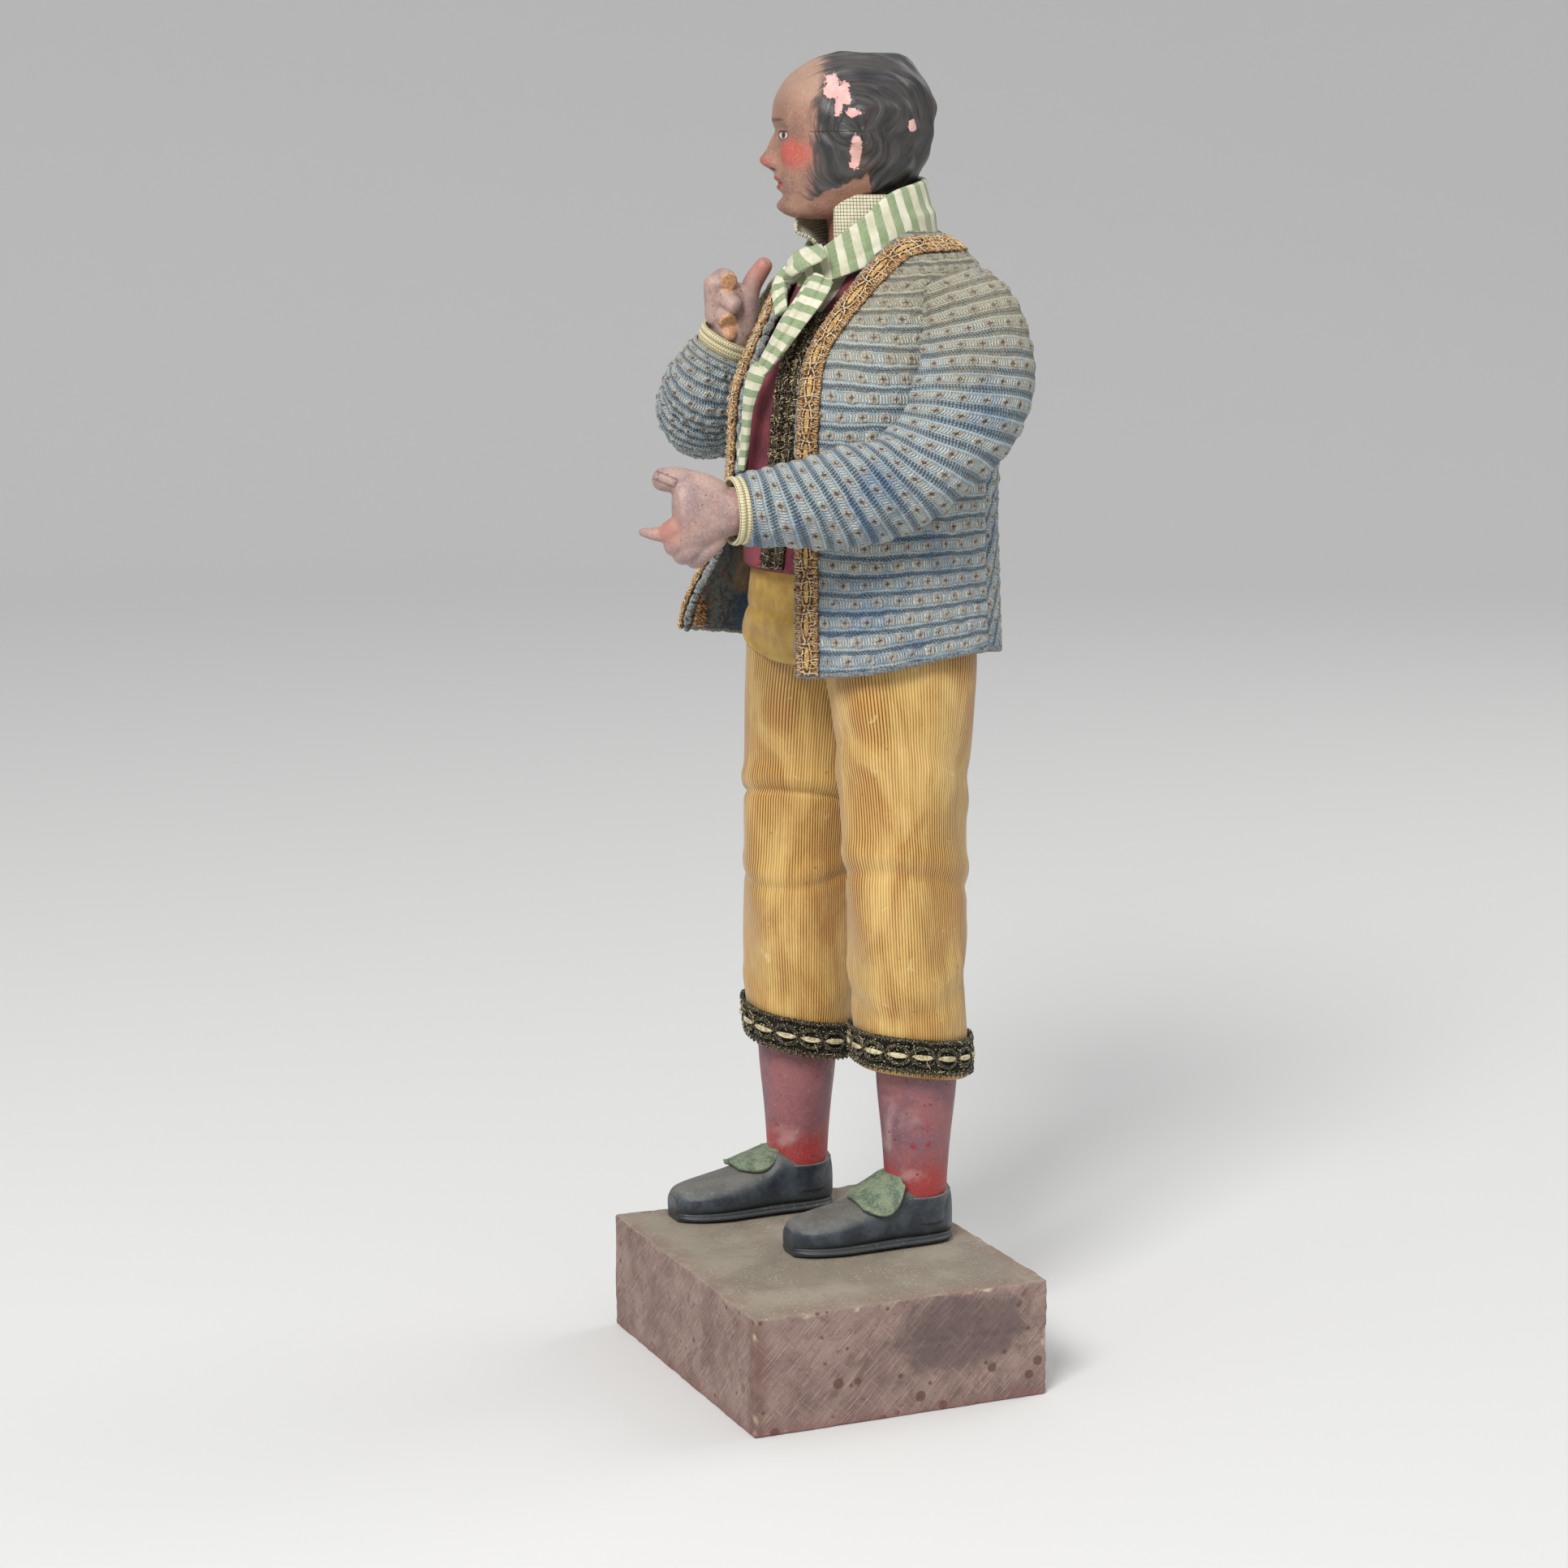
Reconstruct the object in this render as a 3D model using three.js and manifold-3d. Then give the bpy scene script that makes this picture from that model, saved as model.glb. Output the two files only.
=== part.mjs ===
// A dressed figure for a Nativity scene: head, hands and lower legs of painted terracotta, on a stuffed
// body in real clothes, standing on a painted wooden block.
// Millimetres, +Z up. The origin is the centre of the block's underside, and the block's front faces -Y.
import * as THREE from "three";
import { mergeVertices } from "three/addons/utils/BufferGeometryUtils.js";
import Module from "manifold-3d";

const wasm = await Module();
wasm.setup();

// Driving dimensions: the block
const BLOCK_WIDTH = 110;
const BLOCK_DEPTH = 93;
const BLOCK_HEIGHT = 35;
const BLOCK_EDGE = 1.2; // worn edge, as a bevel

// Driving dimensions: the figure, from the soles to the crown, and where it stands on the block
const FIGURE_HEIGHT = 352;
const STAND_INWARD = 32; // from the block's right side to the figure's middle
const STAND_FORWARD = 22.5; // from the block's back
const BODY_TURN = 18; // degrees, the chest and hips turned to the figure's left
const SHOE_TURN = -18; // the shoes, against the body
const HEAD_TURN = -41; // the head, against the body

// Driving dimensions: cloth, braid and fits
const CLOTH_WALL = 2; // jacket
const BREECHES_WALL = 1.8; // at the open hem
const LINEN_WALL = 1; // shirt collar and cuffs
const KERCHIEF_WALL = 1.6;
const BRAID_WIDTH = 7;
const BRAID_WALL = 1.2;
const CHEST_BRAID_WIDTH = 4.8;
const KNEE_BRAID_WIDTH = 10.5;
const KNEE_BRAID_WALL = 1.3;
const SOLE_HEIGHT = 2.8;
const WELT = 0.7; // how far the sole stands out round the shoe
const WRIST_RADIUS = 7;
const CUFF_LENGTH = 4; // what shows beyond the sleeve
const SOCKET_DEPTH = 6; // how far cuff and wrist reach into the sleeve
const HEM_HOLLOW = 9; // how far the open hem of the breeches is hollow
const SHIN_SOCKET = 8; // how far the leg goes on above that hollow
const FIT = 0.3; // clearance between touching pieces

// The figure's own proportions are given in 352nds of its height.
const unit = FIGURE_HEIGHT / 352;
const share = (...values) => values.map((value) => value * unit);
const place = (x, y, z) => new THREE.Vector3(...share(x, y, z));
const degrees = THREE.MathUtils.degToRad;
const BODY_SIDES = 24;
const LIMB_SIDES = 12;

// Geometry helpers

// Values between stations [t, a, b, ...] on a smooth curve.
function course(stations) {
  const size = stations[0].length - 1;
  const curve = new THREE.CubicInterpolant(
    stations.map((station) => station[0]),
    stations.flatMap((station) => station.slice(1)),
    size,
  );
  return (t) => Array.from(curve.evaluate(t));
}

const bump = (x, middle, spread) => Math.exp(-(((x - middle) / spread) ** 2));

function geometryOf(points, triangles) {
  const geometry = new THREE.BufferGeometry();
  const flat = points.flatMap((p) => [p.x, p.y, p.z]);
  geometry.setAttribute("position", new THREE.Float32BufferAttribute(flat, 3));
  geometry.setIndex(triangles);
  return geometry;
}

// A closed solid through rings of points, each ring joined to the next and both ends closed.
function loft(rings) {
  const sides = rings[0].length;
  const points = rings.flat();
  const triangles = [];
  for (let row = 0; row + 1 < rings.length; row++)
    for (let side = 0; side < sides; side++) {
      const a = row * sides + side;
      const b = row * sides + ((side + 1) % sides);
      triangles.push(a, b, a + sides, b, b + sides, a + sides);
    }
  for (const [row, first] of [[0, true], [rings.length - 1, false]]) {
    const middle = points.length;
    const centre = new THREE.Vector3();
    rings[row].forEach((p) => centre.addScaledVector(p, 1 / sides));
    points.push(centre);
    for (let side = 0; side < sides; side++) {
      const a = row * sides + side;
      const b = row * sides + ((side + 1) % sides);
      triangles.push(...(first ? [middle, b, a] : [middle, a, b]));
    }
  }
  return solidOf(geometryOf(points, triangles));
}

// A closed geometry as a solid to join and cut, turned to face outwards.
function solidOf(geometry) {
  const bare = geometry.clone();
  bare.deleteAttribute("normal");
  bare.deleteAttribute("uv");
  const merged = mergeVertices(bare, 1e-4);
  const triVerts = new Uint32Array(merged.index.array);
  const vertProperties = merged.attributes.position.array;
  const make = () => new wasm.Manifold(new wasm.Mesh({ numProp: 3, vertProperties, triVerts }));
  const made = make();
  if (made.volume() > 0) return made;
  for (let i = 0; i < triVerts.length; i += 3)
    [triVerts[i + 1], triVerts[i + 2]] = [triVerts[i + 2], triVerts[i + 1]];
  return make();
}

// The outward direction of a surface pointAt(u, v); an open surface isn't asked beyond its edges.
function outwardOf(pointAt, u, v, closed = false) {
  const step = 1e-3;
  const back = closed ? u - step : Math.max(u - step, 0);
  const ahead = closed ? u + step : Math.min(u + step, 1);
  const along = pointAt(ahead, v).sub(pointAt(back, v));
  const up = pointAt(u, Math.min(v + step, 1)).sub(pointAt(u, Math.max(v - step, 0)));
  return along.cross(up).normalize();
}

// A cloth solid over pointAt(u, v), from lift to lift + wall along the surface's outward side.
// Its rows are given by their number or by their own stations of v.
function sheet(pointAt, columns, rowing, wall, lift = 0, options = {}) {
  const { closed = false, outwardAt = (u, v) => outwardOf(pointAt, u, v, closed) } = options;
  const even = () => Array.from({ length: rowing + 1 }, (_, k) => k / rowing);
  const stations = Array.isArray(rowing) ? rowing : even();
  const rows = stations.length - 1;
  const span = closed ? columns : columns + 1;
  const faces = [[], []];
  for (let row = 0; row <= rows; row++)
    for (let column = 0; column < span; column++) {
      const u = column / columns;
      const v = stations[row];
      const normal = outwardAt(u, v);
      const point = pointAt(u, v);
      faces[0].push(point.clone().addScaledVector(normal, lift));
      faces[1].push(point.clone().addScaledVector(normal, lift + wall));
    }
  const points = faces.flat();
  const triangles = [];
  const quad = (a, b, c, d) => triangles.push(a, b, c, a, c, d);
  const at = (face, row, column) => face * faces[0].length + row * span + (column % span);
  for (let row = 0; row < rows; row++)
    for (let column = 0; column < columns; column++) {
      const next = closed ? (column + 1) % columns : column + 1;
      quad(at(1, row, column), at(1, row, next), at(1, row + 1, next), at(1, row + 1, column));
      quad(at(0, row, column), at(0, row + 1, column), at(0, row + 1, next), at(0, row, next));
    }
  for (let column = 0; column < columns; column++) {
    const next = closed ? (column + 1) % columns : column + 1;
    quad(at(0, 0, column), at(0, 0, next), at(1, 0, next), at(1, 0, column));
    quad(at(1, rows, column), at(1, rows, next), at(0, rows, next), at(0, rows, column));
  }
  if (!closed)
    for (let row = 0; row < rows; row++) {
      quad(at(0, row, 0), at(1, row, 0), at(1, row + 1, 0), at(0, row + 1, 0));
      quad(at(1, row, columns), at(0, row, columns), at(0, row + 1, columns), at(1, row + 1, columns));
    }
  return solidOf(geometryOf(points, triangles));
}

// A tube through places, with stations [t, radius across, radius up] and rounded ends where asked.
// Its width direction starts along widthway and is carried along the curve without twisting.
function tube(places, radii, options = {}) {
  const { steps = 12, sides = LIMB_SIDES, roundStart = false, roundEnd = true } = options;
  const curve = new THREE.CatmullRomCurve3(places);
  const sizeAt = course(radii);
  const widthway = (options.widthway ?? new THREE.Vector3(1, 0, 0)).clone();
  const rings = [];
  const ring = (t, shrink, push) => {
    const [across, up] = sizeAt(t);
    const tangent = curve.getTangentAt(t);
    widthway.addScaledVector(tangent, -widthway.dot(tangent)).normalize();
    const high = new THREE.Vector3().crossVectors(widthway, tangent);
    const centre = curve.getPointAt(t).addScaledVector(tangent, push * Math.min(across, up));
    return Array.from({ length: sides }, (_, k) => {
      const angle = (k / sides) * 2 * Math.PI;
      return centre
        .clone()
        .addScaledVector(widthway, Math.cos(angle) * across * shrink)
        .addScaledVector(high, Math.sin(angle) * up * shrink);
    });
  };
  const caps = [[0.5, 0.86], [0.86, 0.5]];
  if (roundStart) caps.forEach(([size, push]) => rings.push(ring(0, size, -push)));
  for (let index = 0; index <= steps; index++) rings.push(ring(index / steps, 1, 0));
  if (roundEnd) [...caps].reverse().forEach(([size, push]) => rings.push(ring(1, size, push)));
  return loft(rings);
}

// A straight round rod between two places.
function rod(from, to, radius, sides = LIMB_SIDES) {
  const axis = to.clone().sub(from);
  const geometry = new THREE.CylinderGeometry(radius, radius, axis.length(), sides);
  geometry.applyQuaternion(new THREE.Quaternion().setFromUnitVectors(
    new THREE.Vector3(0, 1, 0), axis.clone().normalize()));
  geometry.translate(...from.clone().add(to).multiplyScalar(0.5));
  return solidOf(geometry);
}

// A ball, stretched by a size per axis, as a solid.
function ball(centre, sizes, sides = 14) {
  const geometry = new THREE.SphereGeometry(1, sides, Math.round(sides * 0.7));
  geometry.rotateX(Math.PI / 2);
  geometry.scale(...sizes);
  geometry.translate(...centre);
  return solidOf(geometry);
}

const join = (...solids) => solids.reduce((all, next) => all.add(next));

function piece(name, solid, colour, roughness = 0.8, metalness = 0) {
  const mesh = solid.getMesh();
  const geometry = new THREE.BufferGeometry();
  const positions = new Float32Array(mesh.numVert * 3);
  for (let i = 0; i < mesh.numVert; i++)
    positions.set(mesh.vertProperties.subarray(i * mesh.numProp, i * mesh.numProp + 3), i * 3);
  geometry.setAttribute("position", new THREE.BufferAttribute(positions, 3));
  geometry.setIndex(new THREE.BufferAttribute(mesh.triVerts, 1));
  geometry.computeVertexNormals();
  const material = new THREE.MeshStandardMaterial({ color: colour, roughness, metalness });
  const made = new THREE.Mesh(geometry, material);
  made.name = name;
  return made;
}

// Block: a sawn piece of wood with softened edges
function blockPiece() {
  const inset = BLOCK_EDGE;
  const outline = new THREE.Shape();
  const x = BLOCK_WIDTH / 2 - inset;
  const y = BLOCK_DEPTH / 2 - inset;
  outline.moveTo(-x, -y).lineTo(x, -y).lineTo(x, y).lineTo(-x, y).closePath();
  const geometry = new THREE.ExtrudeGeometry(outline, {
    depth: BLOCK_HEIGHT - 2 * inset,
    bevelThickness: inset,
    bevelSize: inset,
    bevelSegments: 2,
  });
  geometry.translate(0, 0, inset);
  return piece("base_block", solidOf(geometry), 0x9a6f68, 0.85);
}

// Legs: shin, shoe, sole and tongue of one terracotta casting
const HEM_LEVEL = 53 * unit;
const ANKLES = { left: share(26.0, -3.4), right: share(-23.6, -7.0) };
const SHOE_LENGTH = 51.5 * unit;
const HEEL_BACK = 9.4 * unit; // from the shin's middle back to the heel
const SHOE_TOP = 14 * unit;
const shinTop = HEM_LEVEL + HEM_HOLLOW + SHIN_SOCKET;
const shinRadius = course([[0, 9.4], [16, 9.4], [30, 10.2], [50, 12], [75, 12.6]]);
const shinAt = (z) => shinRadius(z / unit)[0] * unit;

// Stations along the shoe from the heel: half width, height of the upper.
const shoeStations = course([
  [0, 6.2, 13.4], [0.06, 8.6, 14.0], [0.2, 9.8, 14.2], [0.36, 9.9, 16.4], [0.48, 10.1, 15.2],
  [0.6, 10.4, 13.2], [0.74, 10.4, 11.6], [0.88, 8.8, 10.4], [0.96, 6.4, 9.4], [1, 4.0, 7.6],
]);

// A point of the shoe's section: sides rounded above, fuller below.
function shoePoint(along, angle, widen, low) {
  const [halfWidth, top] = share(...shoeStations(along));
  const c = Math.cos(angle);
  const s = Math.sin(angle);
  const across = Math.sign(c) * Math.abs(c) ** 0.75;
  const up = Math.sign(s) * Math.abs(s) ** (s < 0 ? 0.45 : 0.9);
  const tip = along > 0.99 ? -widen : along < 0.01 ? widen : 0;
  const middle = (top + low) / 2;
  return new THREE.Vector3(
    across * (halfWidth + widen),
    HEEL_BACK - along * SHOE_LENGTH + tip,
    middle + up * (top - middle));
}

function shoeSolid(widen, low, ceiling) {
  const stations = [0, 0.05, 0.14, 0.26, 0.36, 0.48, 0.6, 0.74, 0.86, 0.95, 1];
  return loft(stations.map((along) => Array.from({ length: LIMB_SIDES }, (_, k) => {
    const point = shoePoint(along, (k / LIMB_SIDES) * 2 * Math.PI, widen, low);
    point.z = Math.min(point.z, ceiling);
    return point;
  })));
}

// The tongue lies over the instep, with its upper end against the shin, the left one standing higher.
const TONGUE_RISE = { left: 3 * unit, right: 0.6 * unit };
function tonguePoint(u, v, rise) {
  const narrowing = 1 - 0.35 * (2 * v - 1) ** 2;
  const angle = Math.PI / 2 + (0.5 - u) * degrees(132) * narrowing;
  const point = shoePoint(0.37 + 0.22 * v, angle, 0, SOLE_HEIGHT / 2);
  point.z += rise * (1 - v) ** 2 * Math.sin(angle);
  return point;
}

function legPiece(side) {
  const upper = shoeSolid(0, SOLE_HEIGHT / 2, Infinity);
  const sole = shoeSolid(WELT, 0, SOLE_HEIGHT);
  const levels = [SHOE_TOP * 0.6, 20 * unit, 32 * unit, 44 * unit, HEM_LEVEL, shinTop];
  const shin = loft(levels.map((z) => Array.from({ length: LIMB_SIDES + 2 }, (_, k) => {
    const angle = (k / (LIMB_SIDES + 2)) * 2 * Math.PI;
    return new THREE.Vector3(Math.cos(angle) * shinAt(z), Math.sin(angle) * shinAt(z), z);
  })));
  const tongue = sheet((u, v) => tonguePoint(u, v, TONGUE_RISE[side]), 6, 3, 2, -0.8);
  const leg = join(upper, sole, shin, tongue)
    .rotate([0, 0, SHOE_TURN])
    .translate([...ANKLES[side], 0]);
  return piece(`leg_${side}`, leg, 0x8a5a5c, 0.7);
}

// Breeches: two wide legs joined in the seat, open at the hems where the shins go in
const BREECHES_TOP = 203 * unit;
// Stations by height: middle across and back, radius across, radius front to back.
const breechesLeg = course([
  [53, 24.6, -4.4, 16.8, 16.6], [66, 24.4, -4.6, 17.3, 17.1], [95, 23.6, -5.4, 17.8, 18.4],
  [125, 22.2, -5.6, 17.6, 19.0], [140, 21.2, -5.2, 17.8, 20.0], [160, 19.6, -4.0, 18.4, 22.4],
  [176, 17.2, -2.0, 18.4, 25.4], [190, 15.6, -1.4, 18.0, 26.4], [203, 14.8, -1.6, 17.4, 27.0],
]);
// Each hem dips on one side: direction of its high side in degrees, and how far it rises there.
const HEM_TILT = { left: [-100, 2.4], right: [-150, 3.6] };
// How far each hem stands off the even stance, across and forward.
const HEM_SHIFT = { left: [0.4, -0.2], right: [1.4, -1.4] };

function breechesPoint(side, angle, z, outward = 0) {
  const sign = side === "left" ? 1 : -1;
  const [x, y, across, deep] = share(...breechesLeg(z / unit));
  const broad = 0.018 * Math.sin(3 * angle + z / (9 * unit));
  const narrow = 0.012 * Math.sin(5 * angle - z / (14 * unit));
  const fold = 1 + broad + narrow;
  const [high, rise] = HEM_TILT[side];
  const fade = 1 - THREE.MathUtils.smoothstep(z, HEM_LEVEL, 95 * unit);
  const [aside, ahead] = share(...HEM_SHIFT[side]);
  return new THREE.Vector3(
    sign * x + aside * fade + Math.cos(angle) * (across * fold + outward),
    y + ahead * fade + Math.sin(angle) * (deep * fold + outward),
    z + rise * unit * Math.cos(angle - degrees(high)) * fade);
}

function breechesRing(side, z, outward, sides) {
  return Array.from({ length: sides }, (_, k) =>
    breechesPoint(side, (k / sides) * 2 * Math.PI, z, outward));
}

const BREECHES_SIDES = 20;
function breechesPiece() {
  const levels = [53, 70, 90, 110, 128, 144, 160, 176, 190, 203].map((z) => z * unit);
  const legs = ["left", "right"].map((side) =>
    loft(levels.map((z) => breechesRing(side, z, 0, BREECHES_SIDES))));
  const hollows = ["left", "right"].map((side) => {
    const middle = [0, 1].map((axis) => ANKLES[side][axis]);
    const open = loft([-1, 1].map((end) => {
      const ring = breechesRing(side, HEM_LEVEL, -BREECHES_WALL, BREECHES_SIDES);
      ring.forEach((point) => (point.z = end < 0 ? HEM_LEVEL - 8 * unit : HEM_LEVEL + HEM_HOLLOW));
      return ring;
    }));
    const socket = rod(
      new THREE.Vector3(...middle, HEM_LEVEL), new THREE.Vector3(...middle, shinTop + FIT),
      shinAt(shinTop) * 1.03 + 2 * FIT);
    return join(open, socket);
  });
  return piece("breeches", join(...legs).subtract(join(...hollows)), 0xd9a545, 0.55);
}

// How much of the hem shows below its braid.
const HEM_SHOWN = { left: 1.2 * unit, right: 0.2 * unit };
function kneeBraidPiece(side) {
  const low = HEM_LEVEL + HEM_SHOWN[side];
  const sides = BREECHES_SIDES;
  const pointAt = (u, v) => {
    const z = low + v * KNEE_BRAID_WIDTH;
    const at = (((u % 1) + 1) % 1) * sides;
    const from = breechesPoint(side, (Math.floor(at) / sides) * 2 * Math.PI, z);
    const to = breechesPoint(side, ((Math.floor(at) + 1) / sides) * 2 * Math.PI, z);
    return from.lerp(to, at % 1);
  };
  const braid = sheet(pointAt, sides, 2, KNEE_BRAID_WALL, 2 * FIT, { closed: true });
  return piece(`knee_braid_${side}`, braid, 0x4b4433, 0.4, 0.5);
}

// Jacket body: rings from the hem to the neckline, open down the front
// Stations from hem to neck: height, half width, depth in front and behind, directions of the left and
// right edge in degrees, and how boxy the section is.
const jacketRow = course([
  [0, 176, 39.2, 38.0, 34.6, -75, 236, 2.5],
  [0.18, 196, 38.6, 37.4, 34.4, -76, 239, 2.5],
  [0.42, 226, 38.6, 37.0, 34.2, -77, 242, 2.5],
  [0.62, 252, 39.6, 36.4, 34.4, -76, 243, 2.5],
  [0.74, 267, 38.6, 31.4, 34.6, -75, 241, 2.5],
  [0.83, 279, 36.4, 25.0, 34.4, -63, 234, 2.4],
  [0.9, 287.5, 33.0, 20.0, 32.4, -49, 225, 2.3],
  [0.95, 293.6, 28.0, 16.5, 28.4, -36, 211, 2.2],
  [0.98, 298.0, 22.0, 14.0, 23.0, -19, 196, 2.1],
  [1, 300.4, 18.4, 12.5, 19.6, 1, 178, 2.1],
]);

// A point of the body's section at a row, kept inward of the jacket's outline. The right shoulder drops.
function bodyPoint(row, angle, inward) {
  const [height, halfWidth, front, behind, , , boxiness] = jacketRow(row);
  const c = Math.cos(angle);
  const s = Math.sin(angle);
  const across = Math.abs(c / (halfWidth * unit - inward)) ** boxiness;
  const deep = Math.abs(s / ((s < 0 ? front : behind) * unit - inward)) ** boxiness;
  const radius = (across + deep) ** (-1 / boxiness);
  const x = radius * c;
  const rightward = (Math.hypot(x, 4 * unit) - x) / 2;
  const drop = 0.2 * rightward * THREE.MathUtils.smoothstep(row, 0.55, 0.85);
  return new THREE.Vector3(x, radius * s, height * unit - drop);
}

// The jacket's lining at u, from the left front edge round the back to the right, and v, from the hem up.
function jacketPoint(u, v) {
  const [left, right] = jacketRow(v).slice(4, 6);
  const point = bodyPoint(v, degrees(left + (right - left) * u), CLOTH_WALL);
  const flap = bump(u, 1, 0.15) * bump(v, 0, 0.27);
  const backPleat = bump(u, 0.36, 0.05) * bump(v, 0, 0.3);
  const hem = bump(v, 0, 0.16) * (3.4 * bump(u, 0.27, 0.12) - 2.6 * bump(u, 0, 0.12));
  const outward = point.clone().setZ(0).normalize();
  point.add(place(-14 * flap, -7 * flap, 6.5 * flap + hem));
  return point.addScaledVector(outward, 2.2 * unit * backPleat);
}

// The braid takes one column along the fronts and the last share of the rows round the neck, so the
// jacket's rows and columns are set where the braid's edges lie.
const COLLAR_SHARE = BRAID_WIDTH / (150 * unit);
const JACKET_ROWS = [
  0, 0.14, 0.28, 0.42, 0.56, 0.68, 0.78, 0.86, 0.92, 1 - COLLAR_SHARE, 1 - COLLAR_SHARE / 2, 1,
];
const JACKET_COLUMNS = Math.round((182 * unit) / BRAID_WIDTH);
function jacketPiece() {
  return piece("jacket", sheet(jacketPoint, JACKET_COLUMNS, JACKET_ROWS, CLOTH_WALL), 0x8fa0ad, 0.95);
}

// Gold braid along the jacket's edge: up the left front, round the neck and down the right front
const FRONT_STEPS = JACKET_ROWS.length - 1;
const BRAID_STEPS = 2 * FRONT_STEPS + JACKET_COLUMNS;
// The place on the jacket's surface where a point of the braid lies.
function jacketBraidSpot(u, v) {
  const across = 1 / JACKET_COLUMNS;
  const at = u * BRAID_STEPS;
  const climb = THREE.MathUtils.clamp(Math.min(at, BRAID_STEPS - at), 0, FRONT_STEPS);
  const below = Math.min(Math.floor(climb), FRONT_STEPS - 1);
  const run = THREE.MathUtils.lerp(JACKET_ROWS[below], JACKET_ROWS[below + 1], climb - below);
  const neck = THREE.MathUtils.clamp((at - FRONT_STEPS) / JACKET_COLUMNS, 0, 1);
  const edge = [neck, run];
  const inner = [THREE.MathUtils.clamp(neck, across, 1 - across), Math.min(run, 1 - COLLAR_SHARE)];
  return [0, 1].map((axis) => inner[axis] + (edge[axis] - inner[axis]) * v);
}

function jacketBraidPiece() {
  const pointAt = (u, v) => jacketPoint(...jacketBraidSpot(u, v));
  const outwardAt = (u, v) => outwardOf(jacketPoint, ...jacketBraidSpot(u, v));
  const braid = sheet(pointAt, BRAID_STEPS, 2, BRAID_WALL, CLOTH_WALL + 3 * FIT, { outwardAt });
  return piece("jacket_braid", braid, 0xc79a55, 0.4, 0.6);
}

// The body under the jacket, kept clear of its lining, from the waist to the neck
const torsoRows = [0.24, ...JACKET_ROWS.slice(2)];
const LINING_CLEAR = CLOTH_WALL + 3 * FIT;
function torsoSolid(grown = 0) {
  return loft(torsoRows.map((row) => Array.from({ length: BODY_SIDES }, (_, k) => {
    const point = bodyPoint(row, (k / BODY_SIDES) * 2 * Math.PI, LINING_CLEAR - grown);
    const drop = LINING_CLEAR * THREE.MathUtils.smoothstep(row, 0.74, 0.9);
    point.z = Math.max(point.z - drop + grown, BREECHES_TOP + FIT - grown);
    return point;
  })));
}

// The neck of the waistcoat: a shallow V in front, and all above the collarbone
function neckOpening(inset) {
  const wedge = new THREE.Shape();
  const halfTop = 15 * unit - inset;
  wedge.moveTo(2 * unit, 274 * unit + 2 * inset);
  wedge.lineTo(halfTop, 301 * unit);
  wedge.lineTo(-halfTop, 301 * unit);
  wedge.closePath();
  const front = new THREE.ExtrudeGeometry(wedge, { depth: 60 * unit, bevelEnabled: false });
  front.rotateX(Math.PI / 2);
  const high = new THREE.BoxGeometry(120 * unit, 120 * unit, 20 * unit);
  high.translate(0, 0, (288.5 + 10) * unit + inset);
  return join(solidOf(front), solidOf(high));
}

const NECK = { x: -0.6 * unit, y: 0, radius: 12 * unit };
const NECK_SEAT = 294 * unit; // the level where the neck stands in the shirt

// Collar: a linen band round the neck, its two points in front
function collarPoint(u, v) {
  const angle = degrees(-84 + 330 * u);
  const lean = bump(u, 1, 0.1) * v;
  const radius = (14.4 - 0.6 * v + 8.5 * lean) * unit;
  const z = (290.6 + v * (20.6 - 8 * lean)) * unit;
  return new THREE.Vector3(NECK.x + radius * Math.cos(angle), NECK.y + radius * Math.sin(angle), z);
}

const collarSolid = (grown = 0) => sheet(collarPoint, 22, 2, LINEN_WALL + 2 * grown, -grown);

function upperBody() {
  const torso = torsoSolid();
  const collar = collarSolid();
  const socket = rod(
    new THREE.Vector3(NECK.x, NECK.y, NECK_SEAT - FIT), new THREE.Vector3(NECK.x, NECK.y, 340 * unit),
    NECK.radius + FIT, 22);
  const chest = torso.intersect(neckOpening(FIT));
  const shirt = join(chest, collar).subtract(socket).subtract(skullSolid(FIT));
  const waistcoat = torso.subtract(neckOpening(0));
  return {
    waistcoat: piece("waistcoat", waistcoat, 0x8a3440, 0.8),
    shirt: piece("shirt", biggest(shirt), 0xd8d3b8, 0.85),
  };
}

// Dark braid down both front edges of the waistcoat, side by side
const chestLine = course([[204, -3.5], [237, 0.5], [255, 1.9], [269, 1.2], [281, 5.7]]);
function chestBraidPiece(name, from) {
  const pointAt = (u, v) => {
    const row = 0.27 + 0.55 * v;
    const height = jacketRow(row)[0];
    const x = chestLine(height)[0] * unit + from + CHEST_BRAID_WIDTH * u;
    const front = bodyPoint(row, -Math.PI / 2, LINING_CLEAR);
    const angle = Math.atan2(front.y, x);
    return bodyPoint(row, angle, LINING_CLEAR);
  };
  return piece(name, sheet(pointAt, 2, 8, BRAID_WALL, 2 * FIT), 0x4b4433, 0.45, 0.5);
}

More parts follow.
